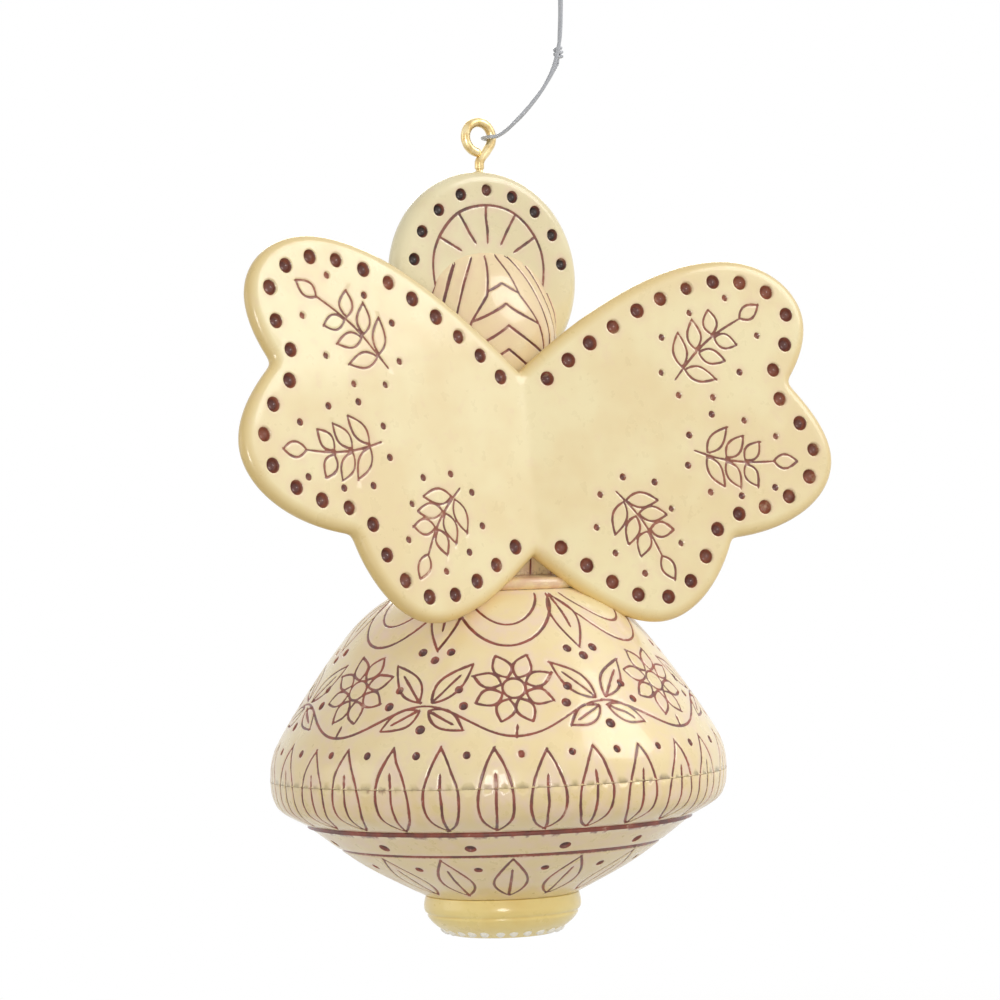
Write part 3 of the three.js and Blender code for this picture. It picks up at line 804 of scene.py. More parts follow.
repeat = 2 * np.pi / skirt_repeats
eye_turn = np.linspace(0, 2 * np.pi, 25)
daisy_ring = np.stack([daisy_eye * np.cos(eye_turn), daisy_eye * np.sin(eye_turn)], axis=1)
for i in range(skirt_repeats):
    turn = -np.pi / 2 + (i + 0.5) * repeat
    t = np.linspace(0, 1, 60)
    swags = []
    for drop, inset in swag_drops_and_insets:
        angle = turn + (inset + (1 - 2 * inset) * t) * repeat
        down = drop * np.sin(np.pi * t) ** 0.75
        swag = at(angle, swag_top - down) + wobble(np.zeros((len(t), 2)), 0.0025)
        bell_line(swag)
        swags.append(swag)
    bell_fills.append(closed_outline(swags))
    bell_leaf((0, 0), -math.pi / 2, swag_leaf_length, swag_leaf_width, 0.66, turn, swag_top - 0.4)
    bell_dots([(0, -11.4), (-1.9, -10.2), (1.9, -10.2)], turn, swag_top)
    t = np.linspace(0, 1, 90)
    swing = vine_middle + vine_swing * np.cos(2 * np.pi * t)
    bell_line(at(turn + t * repeat, swing) + wobble(np.zeros((len(t), 2)), 0.0015))
    middle = turn + repeat / 2
    bell_line(around(daisy_ring, middle, daisy_up))
    for k in range(daisy_petals):
        lean = 2 * math.pi * (k + 0.5) / daisy_petals
        base = (petal_start * math.cos(lean), petal_start * math.sin(lean))
        bell_leaf(base, lean, petal_length, petal_width, 0, middle, daisy_up)
    bell_line(around(along([(0, -5.4), (0.25, -7.0)], 0.2), middle, daisy_up))
    for lean in (1, -1):
        bell_leaf((lean * 0.8, 0.5), math.pi / 2 - lean * 0.66, 6.9, 2.9, 0.7, turn, vine_top)
        bell_leaf((lean * 0.6, -0.7), -math.pi / 2 + lean * 1.05, 5.6, 2.5, 0.7, turn, vine_top)
        bell_dots([(lean * 6.9, 0.0), (lean * 6.5, -2.4)], middle, daisy_up)
    bell_dots([(0, -3.4)], turn, vine_top, 0.66)
for turn, leaf in upper_leaves:
    bell_dots([(0, 4.3)], turn + np.pi / hem_leaves, 0.0, 0.55)
    bell_outline([around(stroke, turn, 0.0) for stroke in leaf if len(stroke) > 2])
border, field = turned_field(skirt_columns, bell_tall, 0.032)
carved_bell = carved_sheet(place, find, bell_strokes, bell_pits, border, field, wraps=True, fills=bell_fills)
at_least(carved_bell, STAIN, seam_stain(carved_bell[0]))
at_least(carved_bell, NEARBY, np.clip(1 - (waist_height - carved_bell[0][:, 2]) / 1.2, 0, 1))
waist_socket_bottom = waist_height - waist_socket_depth
inner_heights = np.linspace(waist_socket_bottom, seam_height + glue_gap, 14)
inner_radii = np.interp(inner_heights, bell[:, 1], bell[:, 0]) - skirt_wall
bell_inside = lathe_ring([
    tuple(bell[-1]), (waist_socket_radius, waist_height), (waist_socket_radius, waist_socket_bottom),
    *zip(inner_radii, inner_heights), (seam_radius - glue_gap, seam_height + glue_gap), tuple(bell[0]),
], skirt_columns)
make_piece("skirt_bell_cast", [carved_bell, bell_inside], skirt_resin, "angel", "resin", "skirt_bell")


# Bodice: the upper body, cast in one with the belt at its waist. It stands in the top of the skirt
# by a spigot, and the wings, sleeves and neck are glued into it.
belt_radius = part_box("bodice")[1].x / MM
belt_bottom = waist_height - 0.05
belt_top = waist_height + 1.9
belt_round = 0.75
belt_half_height = 0.8
belt_spigot_radius = 3.9
belt_spigot_length = 3.2
torso_half_width = 10.4
torso_half_depth = 9.6
torso_flatten = torso_half_depth / torso_half_width
torso_bottom = belt_top - 0.3
torso_columns = 160
torso_pleats = 18
button_heights = (8.5, 12.0, 15.5)
neck_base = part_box("bodice")[1].z / MM - ground
neck_socket_radius = 3.4
neck_socket_depth = 3
shoulder_height = neck_base - 5
pink_wash = srgb(214, 168, 140)
torso = smooth([
    (torso_half_width, torso_bottom), (10.1, belt_top + 2.2), (9.5, waist_height + 11),
    (9.35, shoulder_height - 3.5), (8.5, shoulder_height), (7.2, neck_base - 1.7), (5.4, neck_base),
], 90)
bodice_resin = resin("bodice_resin", srgb(245, 226, 178), srgb(236, 210, 162), pink_wash, 0.85)
place, find, at, around, torso_run, torso_tall = turning(torso, torso_flatten)
torso_strokes = []
t = np.linspace(0, 1, 16)
for i in range(torso_pleats):
    angle = -np.pi + (i + 0.5) * np.pi / (torso_pleats / 2)
    reach = 3.4 + 1.6 * (i % 2) + dice.uniform(-0.3, 0.3)
    torso_strokes.append((at(angle + 0.03 * np.sin(3 * t), 0.5 + reach * t), 0.17, 0.16))
whole_turn = np.linspace(-np.pi, np.pi, 240)
collar = torso_run - 3.6 - 0.55 * np.abs(np.sin(whole_turn * 8))
neck_line = np.full(len(whole_turn), torso_run - 1.5)
torso_strokes.append((at(whole_turn, collar), 0.2, 0.2))
torso_strokes.append((at(whole_turn, neck_line), 0.18, 0.2))
torso_pits = [(around([(0, 0)], -np.pi / 2, up)[0], 0.6, 0.35, 1.0) for up in button_heights]
border, field = turned_field(torso_columns, torso_tall, 0.07)
carved_torso = carved_sheet(place, find, torso_strokes, torso_pits, border, field, wraps=True)
# The back of the torso is browned just above the belt, fading out over 1.6 mm.
grime = 0.13 * np.clip(1 - (carved_torso[0][:, 2] - belt_top) / 1.6, 0, 1)
at_least(carved_torso, STAIN, grime * (carved_torso[0][:, 1] > 2))
belt_spigot = [(belt_spigot_radius, belt_bottom - belt_spigot_length), (belt_spigot_radius, belt_bottom)]
belt_under = [(belt_radius - 0.7, belt_bottom)]
belt_edge = [(belt_radius - belt_round + belt_round * math.cos(a),
              belt_bottom + belt_half_height + belt_half_height * math.sin(a))
             for a in np.linspace(-math.pi / 2, math.pi / 2, 11)]
belt_over = [(torso_half_width - 0.2, belt_top), (torso_half_width - 2, belt_top - 0.05)]
belt_profile = belt_spigot + belt_under + belt_edge + belt_over
belt_stain = [0, 0, 0.5, 0.32, 0.2] + [0] * (len(belt_edge) - 2) + [0.16, 0.05]
belt_marks = row_marks(torso_columns, belt_stain, [0.8] * len(belt_profile))
belt_part = (*turned(belt_profile, torso_columns), belt_marks)
neck_socket = [(neck_socket_radius, neck_base), (neck_socket_radius, neck_base - neck_socket_depth)]
neck_cap = lathe_ring([tuple(torso[-1]), *neck_socket], torso_columns, torso_flatten)
torso_floor = lathe_ring([(0.1, torso_bottom), tuple(torso[0])], torso_columns, torso_flatten)
make_piece("bodice_cast", [carved_torso, neck_cap, torso_floor, belt_part],
           bodice_resin, "angel", "resin", "bodice")


# Wings: one casting of two three-lobed wings that meet in a soft fold, with thick rounded edges, a border of
# drilled pits and a leaf sprig in each lobe. It leans a little forward, glued by a peg to the bodice's back.
wing_height = waist_height + 17
wing_depth = 10.2
wing_thickness = 2.4
wing_edge = 1.5
wing_sweep = math.radians(8.3)
wing_lean = math.radians(8.3)
wing_roll = math.radians(1.8)
fold_top = 11.5
fold_bottom = 12.7
wing_lobes = [
    [(0, fold_top), (7.825, 18.0), (20.345, 26.9), (31.3, 26.9)],
    [(31.3, 26.9), (37.515, 26.9), (42.6, 23.03), (42.6, 18.3)],
    [(42.6, 18.3), (42.6, 14.8), (40.3, 11.6), (39.2, 10.2)],
    [(39.2, 10.2), (41.0, 8.3), (44.9, 4.08), (44.9, 0)],
    [(44.9, 0), (44.9, -5.4), (38.4, -10.0), (28.8, -10.8)],
    [(28.8, -10.8), (27.4, -15.2), (23.0, -21.7), (17.0, -21.7)],
    [(17.0, -21.7), (11.56, -21.7), (5.44, -17.2), (0, -fold_bottom)],
]
wing_pits = 28
pit_radius = 1.0
pit_depth = 0.95
pit_inset = 3.0
pit_from_fold = 3.3
sprig_feet_tips_bends = (
    ((22.0, 10.4), (32.4, 18.8), 0.06),
    ((24.0, 0.8), (35.6, -0.7), -0.06),
    ((12.0, -4.6), (17.8, -13.2), 0.06),
)
sprig_pairs = 3
rim_rounds = np.linspace(0, math.pi, 13)


def rounded(curve, reach):
    """The curve with its corners eased over that many points, ends kept."""
    weight = np.exp(-np.linspace(-2, 2, 2 * reach + 1) ** 2)
    weight /= weight.sum()
    before = 2 * curve[0] - curve[reach:0:-1]
    after = 2 * curve[-1] - curve[-2:-reach - 2:-1]
    padded = np.concatenate([before, curve, after])
    return np.stack([np.convolve(column, weight, "valid") for column in padded.T], axis=1)


def bezier(corners, count):
    """A curve that two middle corners pull between the outer two."""
    t = np.linspace(0, 1, count)[:, None]
    a, b, c, d = (np.array(p, float) for p in corners)
    return a * (1 - t) ** 3 + 3 * b * t * (1 - t) ** 2 + 3 * c * t * t * (1 - t) + d * t ** 3


def outward(curve):
    """Unit normals on the left-hand side of a curve, which is the outside of a clockwise outline."""
    heading = np.gradient(curve, axis=0)
    heading /= np.linalg.norm(heading, axis=1)[:, None]
    return np.stack([-heading[:, 1], heading[:, 0]], axis=1)


def away_from(loop, points):
    """The distance from each point to the nearest point of the loop."""
    return np.array([np.min(np.linalg.norm(loop - p, axis=1)) for p in points])


def flat_field(loop, step, margin):
    """Loosely set points inside a closed loop, kept off its edge."""
    loop = np.array(loop)
    low, high = loop.min(axis=0), loop.max(axis=0)
    spots = []
    for i, v in enumerate(np.arange(low[1], high[1], step * 0.87)):
        u = np.arange(low[0] + 0.5 * step * (i % 2), high[0], step)
        spots.append(np.stack([u, np.full(len(u), v)], axis=1))
    spots = np.concatenate(spots)
    spots += dice.uniform(-0.12, 0.12, spots.shape) * step
    spots = spots[within(loop)(spots)]
    return spots[away_from(loop, spots) > margin]


wing_outline = np.concatenate([bezier(corners, 40)[:-1] for corners in wing_lobes] + [[(0, -fold_bottom)]])
wing_outline = rounded(along(wing_outline, 0.42), 4)
wing_outline[[0, -1], 0] = 0
wing_normals = outward(wing_outline)
wing_normals[0] = (0, 1)
wing_normals[-1] = (0, -1)
wing_rim = wing_outline - wing_edge * wing_normals
wing_rim[[0, -1], 0] = 0
fold_heights = np.linspace(wing_rim[-1, 1], wing_rim[0, 1], 42)[1:-1]
fold_line = np.stack([np.zeros(len(fold_heights)), fold_heights], axis=1)
wing_loop = np.concatenate([wing_rim, fold_line])
pit_line = wing_outline - pit_inset * wing_normals
pit_line = pit_line[(away_from(wing_outline, pit_line) > 0.97 * pit_inset) & (pit_line[:, 0] > pit_from_fold)]
pit_run = along(pit_line, 0.1)
pit_spots = pit_run[np.linspace(0, len(pit_run) - 1, wing_pits).astype(int)]


def wing_place(side, sunk):
    """Sheet coordinates of one wing, at a depth into its thickness, in the frame."""
    cos, sin = math.cos(wing_sweep), math.sin(wing_sweep)
    tilt, drop = math.cos(wing_lean), math.sin(wing_lean)
    level, askew = math.cos(wing_roll), math.sin(wing_roll)

    def place(flat):
        flat = np.array(flat, float)
        back = flat[:, 0] * sin - sunk / cos
        x = side * flat[:, 0] * cos
        y = wing_depth + back * tilt - flat[:, 1] * drop
        z = back * drop + flat[:, 1] * tilt
        points = np.stack([x * level - z * askew, y, wing_height + x * askew + z * level], axis=1)
        nx, ny, nz = -side * sin, cos * tilt, cos * drop
        normal = np.array([[nx * level - nz * askew, ny, nx * askew + nz * level]])
        return points, np.repeat(normal, len(flat), axis=0)

    def find(points):
        up = points[:, 2] - wing_height
        x = points[:, 0] * level + up * askew
        z = up * level - points[:, 0] * askew
        u = x * side / cos
        back = u * sin - sunk / cos
        return np.stack([u, (z - back * drop) / tilt], axis=1)

    return place, find


def sprig(base, tip, bend, pairs):
    """A leafy twig: a curved stem, paired leaves and one at the tip."""
    run = tip - base
    across = np.array([-run[1], run[0]])
    t = np.linspace(0, 1, 30)[:, None]
    stem = base + run * t + across * bend * np.sin(np.pi * t)
    tip_heading = math.atan2(*(run - across * bend * 2)[::-1])
    heading = math.atan2(run[1], run[0])
    strokes = [stem]
    for k in range(pairs):
        joint = stem[int(4 + 22 * k / pairs)]
        for side in (1, -1):
            foot = joint + 0.35 * np.array([math.cos(heading + side), math.sin(heading + side)])
            strokes += lancet(foot, heading + side * 0.95, 4.6 - 0.6 * k, 2.0, 0)
    return strokes + lancet(stem[-1], tip_heading, 3.5, 1.9, 0)


wing_resin = resin("wing_resin", srgb(243, 229, 182), srgb(237, 217, 167), srgb(234, 202, 174), 0.5,
                   srgb(152, 86, 60), srgb(100, 48, 38))
wing_parts = []
# The wing on the minus x side has fewer fully stained pits, so its pits are paler: partly uneven stain,
# partly painted light on their lit inner walls.
for side, pit_stain_share_and_painted_light in ((1, 0.75), (-1, 0.5)):
    place, find = wing_place(side, 0.0)
    strokes = []
    pits = []
    for base, tip, bend in sprig_feet_tips_bends:
        base, tip = np.array(base), np.array(tip)
        for stroke in sprig(base, tip, bend, sprig_pairs):
            strokes.append((wobble(along(stroke, 0.25), 0.03), 0.22 * dice.uniform(0.9, 1.1), 0.22))
        reach = np.linalg.norm(tip - base)
        ahead = (tip - base) / reach
        across = np.array([-ahead[1], ahead[0]])
        for lean in (1, -1):
            for go, out in ((-1.0, 2.0), (0.2 * reach, 5.3), (0.6 * reach, 5.2), (1.02 * reach, 3.4)):
                spot = base + ahead * go + across * lean * out + dice.normal(0, 0.08, 2)
                pits.append((spot, 0.5, 0.35, uneven(0.4)))
    for spot in pit_spots:
        wide = pit_radius * dice.uniform(0.95, 1.06)
        pits.append((spot + dice.normal(0, 0.06, 2), wide, pit_depth, uneven(pit_stain_share_and_painted_light)))
    field = flat_field(wing_loop, 0.95, 0.45)
    wing_parts.append(carved_sheet(place, find, strokes, pits, [wing_loop], field))
    rim_rows = []
    for a in rim_rounds:
        rim_place = wing_place(side, wing_thickness / 2 * (1 - math.cos(a)))[0]
        rim_rows.append(rim_place(wing_rim + wing_edge * math.sin(a) * wing_normals)[0])
    # Across the rim the edge colour is strongest at its outermost turn: partly the resin's yellower tone at
    # the thick edge, partly painted shade where the edge turns from the light.
    rim_marks = np.zeros((len(rim_rounds) * len(wing_rim), len(MARKS)))
    rim_marks[:, EDGE_TONE_AND_PAINTED_LIGHT] = np.repeat(np.sin(rim_rounds), len(wing_rim))
    rim_faces = grid_faces(len(rim_rounds), len(wing_rim), closed=False)
    wing_parts.append((np.concatenate(rim_rows), rim_faces, rim_marks))
    place, find = wing_place(side, wing_thickness)
    field = flat_field(wing_loop, 1.6, 0.8)
    wing_parts.append(carved_sheet(place, find, [], [], [wing_loop], field))
make_piece("wings_cast", wing_parts, wing_resin, "angel", "resin", "wings")


# Sleeves: two bell sleeves cast on their own and glued to the shoulders by pegs, bent forward at the elbow.
# Each ends in a hemmed cuff with a socket for the wrist.
sleeve_radius = 3.1
sleeve_columns = 56
sleeve_step = 0.2
cuff_radius = 3.9
cuff_wall = 1.35
cuff_socket = 2.2
cuff_reach = 4.1
cuff_forward = 12.2
cuff_height = shoulder_height - 5.2
elbow_reach = 11.9
elbow_forward = 4.6
elbow_height = shoulder_height - 9.6
shoulder_reach = 8.8
upper_arm_height = shoulder_height - 5.28
crease_turns = (0.6, 2.5, 4.4)
shoulder_cap_steps = 22


def tube(path, radii, columns):
    """A round section that follows a path, as points and faces with closed ends."""
    path = np.array(path, float)
    heading = np.gradient(path, axis=0)
    heading /= np.linalg.norm(heading, axis=1)[:, None]
    normal = np.cross(heading[0], (0.3, 0.2, 0.93))
    normal /= np.linalg.norm(normal)
    rows = []
    a = np.arange(columns) * 2 * np.pi / columns
    for centre, ahead, radius in zip(path, heading, radii):
        normal = normal - ahead * (normal @ ahead)
        normal /= np.linalg.norm(normal)
        other = np.cross(ahead, normal)
        rows.append(centre + radius * (np.outer(np.cos(a), normal) + np.outer(np.sin(a), other)))
    faces = grid_faces(len(rows), columns)
    last_row = (len(rows) - 1) * columns
    first_end = len(rows) * columns
    for j in range(columns):
        k = (j + 1) % columns
        faces.append((first_end, k, j))
        faces.append((first_end + 1, last_row + j, last_row + k))
    return np.concatenate(rows + [path[:1], path[-1:]]), faces


def hump(value, middle, width):
    """One at the middle, falling away on both sides."""
    return np.exp(-((value - middle) / width) ** 2)


for side, node in ((1, "left_sleeve"), (-1, "right_sleeve")):
    arm = along(smooth([
        (side * shoulder_reach, 0, shoulder_height),
        (side * elbow_reach, -elbow_forward * 0.4, upper_arm_height),
        (side * elbow_reach, -elbow_forward, elbow_height),
        (side * (elbow_reach + cuff_reach) / 2, -(elbow_forward + cuff_forward) / 2, elbow_height),
        (side * cuff_reach, -cuff_forward, cuff_height),
    ], 121), sleeve_step)
    t = np.linspace(0, 1, len(arm))
    hem_line = hump(t, 0.9, 0.012) + hump(t, 0.84, 0.009)
    radii = sleeve_radius + (cuff_radius - sleeve_radius) * t - 0.5 * np.sin(np.pi * t)
    radii += 0.07 * np.sin(9 * t) * np.sin(np.pi * t)
    radii -= 0.2 * hem_line
    radii[-4:] -= (0.0, 0.05, 0.14, 0.34)
    socket_rows = int(cuff_socket / sleeve_step)
    path = np.concatenate([arm, arm[len(arm) - 1 - np.arange(socket_rows)]])
    radii = np.concatenate([radii, np.full(socket_rows, cuff_radius - cuff_wall)])
    sleeve_points, sleeve_faces = tube(path, radii, sleeve_columns)
    marks = np.zeros((len(sleeve_points), 2))
    stain_rows = np.concatenate([0.75 * hem_line, np.full(socket_rows, 0.12)])
    wash_rows = np.concatenate([np.clip(1.2 * hem_line + 0.4 * (t > 0.9), 0, 1), np.ones(socket_rows)])
    marks[:-2] = row_marks(sleeve_columns, stain_rows, wash_rows)
    column_turn = np.arange(sleeve_columns) * 2 * np.pi / sleeve_columns
    outside = slice(0, len(arm) * sleeve_columns)
    for crease_turn in crease_turns:
        crease = hump(np.angle(np.exp(1j * (column_turn - crease_turn))), 0, 0.09)
        deep = np.outer(hump(t, 0.45, 0.16), crease).reshape(-1)
        centre = np.repeat(arm, sleeve_columns, axis=0)
        sleeve_points[outside] += (centre - sleeve_points[outside]) * 0.07 * deep[:, None]
        marks[outside, STAIN] = np.maximum(marks[outside, STAIN], 0.4 * deep)
        marks[outside, NEARBY] = np.maximum(marks[outside, NEARBY], deep)
    cap_path = smooth([(side * 5.6, 0, shoulder_height + 3.7), (side * 6.9, 0, shoulder_height + 2.2),
                       (side * 8.2, 0, shoulder_height + 0.6), tuple(arm[2])], shoulder_cap_steps)
    cap_swell = np.sqrt(np.clip(1 - (1 - np.linspace(0.03, 1, shoulder_cap_steps)) ** 2, 0, 1))
    cap = tube(cap_path, (radii[2] + 0.02) * cap_swell, sleeve_columns)
    make_piece(node + "_cast", [(sleeve_points, sleeve_faces, marks), cap],
               bodice_resin, "angel", "resin", node)


# Hands: one small casting of two hands pressed together in prayer, in the same ivory resin.
# They stand between the cuffs, on wrists that are glued into them.
heel = np.array([0, -13.04, cuff_height + 1.6])
palm_half = np.array([1.08, 2.05, 4.6])
palm_apart = 0.98
palm_columns = 64
palm_rows = 60
wrist_radius = 1.75
thumb_radius = 0.62
thumb_steps = 20
hand_resin = resin("hand_resin", srgb(240, 218, 176), srgb(228, 196, 156), pink_wash, 0.6)


def unit_ball(columns, rows, end):
    """Points of a ball of radius one, row by row, up to that angle from its middle."""
    a, b = np.meshgrid(np.linspace(0, 2 * np.pi, columns, endpoint=False), np.linspace(-end, end, rows))
    return np.stack([np.cos(b) * np.cos(a), np.cos(b) * np.sin(a), np.sin(b)], axis=-1).reshape(-1, 3)


hand_parts = []
for side in (1, -1):
    unit = unit_ball(palm_columns, palm_rows, 1.5)
    unit[:, 1] *= np.where(unit[:, 2] > 0, 1 - 0.28 * unit[:, 2] ** 2, 1)
    between = hump(np.abs(unit[:, 1] * 4) % 2, 1, 0.28)
    fingers = between * np.clip((unit[:, 2] + 0.05) * 4, 0, 1) * (np.abs(unit[:, 1]) < 0.85)
    palm = unit * palm_half * (1 - 0.13 * fingers[:, None] * np.array([1.0, 0.2, 0.12]))
    palm[:, 0] = side * palm[:, 0] + side * palm_apart
    palm = palm + (heel + (0, 0, 0.55 * palm_half[2]))
    ends = [[palm[:palm_columns].mean(axis=0)], [palm[-palm_columns:].mean(axis=0)]]
    faces = grid_faces(palm_rows, palm_columns)
    last_row = (palm_rows - 1) * palm_columns
    following = [(j, (j + 1) % palm_columns) for j in range(palm_columns)]
    faces += [(len(palm), k, j) for j, k in following]
    faces += [(len(palm) + 1, last_row + j, last_row + k) for j, k in following]
    marks = np.zeros((len(palm) + 2, 2))
    marks[:-2, STAIN] = 0.35 * fingers
    marks[:-2, NEARBY] = np.clip(fingers, 0, 0.8)
    hand_parts.append((np.concatenate([palm, *ends]), faces, marks))
    thumb = smooth([heel + (side * 0.9, 1.5, 0.2), heel + (side * 0.95, 2.0, 1.9),
                    heel + (side * 0.7, 1.75, 3.6)], thumb_steps)
    round_ends = np.sqrt(np.clip(1 - np.linspace(-1, 1, thumb_steps) ** 4, 0.02, 1))
    hand_parts.append(tube(thumb, thumb_radius * round_ends, 24))
    cuff = np.array([side * cuff_reach, -cuff_forward, cuff_height])
    ahead = (cuff - heel) / np.linalg.norm(cuff - heel)
    wrist = along([heel + ahead * 0.3, cuff + ahead * 1.7], 0.4)
    hand_parts.append(tube(wrist, np.linspace(wrist_radius * 0.92, wrist_radius, len(wrist)), 40))
make_piece("hands_cast", hand_parts, hand_resin, "angel", "resin", "hands")


# Head: a small egg-shaped casting on a neck that is glued into the bodice, with a calm, closed-eyed face
# modelled in low relief and its lines stained. A spot on it has a place across and up, and half sizes.
head_half = np.array([7.2, 6.8, 7.6])
head_middle = np.array([0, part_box("head")[0].y / MM + head_half[1] + 1.1, neck_base + 8.1])
neck_radius = 3.1
neck_forward = 1.6
neck_bottom = neck_base - 2.9
neck_top = neck_base + 4
face_columns = 220
face_rows = 150
nose_tip = (0, -1.3, 0.75, 0.9)
nose_bridge = (0, 0.4, 0.55, 1.6)
lips = (0, -3.7, 1.3, 0.42)
chin = (0, -5.4, 1.5, 0.9)
cheek = (2.9, -2.0, 1.6, 1.3)
rosy_cheek = (3.1, -2.0, 1.5, 1.1)
eye_socket = (2.5, 0.75, 1.35, 0.75)
eyelid = (2.5, 0.6, 0.95, 0.5)
face_resin = resin("face_resin", srgb(242, 221, 178), srgb(234, 204, 164), srgb(224, 172, 146), 0.5)
unit = unit_ball(face_columns, face_rows, 1.55)
face_points = unit * head_half
x, z = face_points[:, 0], face_points[:, 2]
front = np.clip(-unit[:, 1] * 3, 0, 1)


def swell(spot, side=1):
    """A soft rise on the front of the face."""
    across, up, wide, tall = spot
    return front * np.exp(-((x - side * across) / wide) ** 2 - ((z - up) / tall) ** 2)


def face_line(middle, half_length, height, half_width, full=1.2):
    """A stained line across the face, along a height that may change from point to point."""
    return front * np.clip(full - np.abs(z - height) / half_width, 0, 1) * (np.abs(x - middle) < half_length)


relief = 0.95 * swell(nose_tip) + 0.45 * swell(nose_bridge) + 0.28 * swell(lips) + 0.3 * swell(chin)
mouth = -3.78 + 0.16 * (x / 1.2) ** 2
face_stain = face_line(0, 1.25, mouth, 0.16)
blush = np.zeros(len(unit))
for side in (1, -1):
    relief += 0.22 * swell(cheek, side) - 0.4 * swell(eye_socket, side) + 0.3 * swell(eyelid, side)
    blush = np.maximum(blush, swell(rosy_cheek, side))
    eye = side * eyelid[0]
    lid = 0.25 - 0.42 * (1 - ((x - eye) / 1.25) ** 2)
    brow = 2.55 + 0.35 * (1 - ((x - eye) / 1.5) ** 2)
    face_stain = np.maximum(face_stain, face_line(eye, 1.2, lid, 0.17, 1.25))
    face_stain = np.maximum(face_stain, 0.6 * face_line(eye, 1.5, brow, 0.18))
face_points = face_points + unit * (relief - 0.12 * face_stain)[:, None] + head_middle
faces = grid_faces(face_rows, face_columns)
faces.append(tuple(range(face_columns - 1, -1, -1)))
faces.append(tuple((face_rows - 1) * face_columns + j for j in range(face_columns)))
face_marks = np.stack([face_stain, np.maximum(blush, 0.7 * face_stain)], axis=1)
neck_points, neck_faces = turned([
    (axis_gap, neck_bottom), (neck_radius, neck_bottom), (neck_radius, neck_top), (axis_gap, neck_top),
], 64)
neck_points[:, 1] -= neck_forward
make_piece("head_cast", [(face_points, faces, face_marks), (neck_points, neck_faces)],
           face_resin, "angel", "resin", "head")


# Hair: a thick shell of resin cast on its own, open at the face, and glued over the head.
# Its outside is carved with strands and a broad plait down the back, and swells where the halo meets it.
hair_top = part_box("hair")[1].z / MM - ground
hair_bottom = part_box("hair")[0].z / MM - ground
hair_half_width = 11.0
hair_half_depth = 7.6
hair_flatten = hair_half_depth / hair_half_width
hair_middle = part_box("hair")[1].y / MM - hair_half_depth
hair_tall = hair_top - hair_bottom
hair_wall = 1.6
face_half_width = 6.0
face_half_height = 6.4
face_top = head_middle[2] + face_half_height
halo_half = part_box("halo")[1].y / MM
halo_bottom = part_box("halo")[0].z / MM - ground
halo_swell = 0.9
back_strands = ((5.6, 31, 48), (7.2, 49, 57), (9.4, 61, 66))
side_strands = range(3, 11)
side_strand_first = 38
side_strand_gap = 10.5
plait_start = 5.0
plait_distances = (5.8, 12, 15.8, 20, 23.6)
plait_degrees = (10, 15, 28, 37, 39)
chevron_first = 10.1
chevron_gap = 3.1
strand_half = 0.24
strand_depth = 0.3
side_strand_half = 0.22
side_strand_depth = 0.28
hem_points = 130
hair_profile = smooth([
    (0.0, hair_top), (0.5 * hair_half_width, hair_top - 0.07 * hair_tall),
    (0.82 * hair_half_width, hair_top - 0.28 * hair_tall), (hair_half_width, hair_top - 0.62 * hair_tall),
    (0.86 * hair_half_width, hair_bottom),
], 140)
hair_radii, hair_heights = hair_profile.T
hair_run = np.concatenate([[0], np.cumsum(np.hypot(np.diff(hair_radii), np.diff(hair_heights)))])
hair_long = hair_run[-1]
hair_slope_r = np.gradient(hair_radii, hair_run)
hair_slope_z = np.gradient(hair_heights, hair_run)


def hair_place(flat, sunk=0.0):
    """Points for sheet coordinates spread from the crown, where straight up is the back of the head."""
    flat = np.array(flat, float)
    far = np.hypot(flat[:, 0], flat[:, 1])
    turn = np.arctan2(flat[:, 0], flat[:, 1])
    r, z, slope_r, slope_z = (np.interp(far, hair_run, column)
                              for column in (hair_radii, hair_heights, hair_slope_r, hair_slope_z))
    sin, cos = np.sin(turn), np.cos(turn)
    normal = np.stack([-slope_z * sin * hair_flatten, -slope_z * cos, slope_r * hair_flatten], axis=1)
    normal /= np.linalg.norm(normal, axis=1)[:, None]
    points = np.stack([r * sin, hair_middle + r * cos * hair_flatten, z], axis=1)
    return points - sunk * normal, normal


def hair_at(turn, far):
    """Sheet coordinates by the angle from the back of the head and the distance from the crown."""
    return np.stack([far * np.sin(turn), far * np.cos(turn)], axis=1)


def hair_far(height):
    """The distance from the crown at which the hair has that height."""
    return np.interp(-height, -hair_heights, hair_run)


def hair_find(points):
    """Sheet coordinates for points."""
    turn = np.arctan2(points[:, 0], (points[:, 1] - hair_middle) / hair_flatten)
    return hair_at(turn, hair_far(points[:, 2]))


def plait_turn(far):
    """Half the width of the plait, as an angle, by the distance from the crown."""
    return np.radians(np.interp(far, plait_distances, plait_degrees))


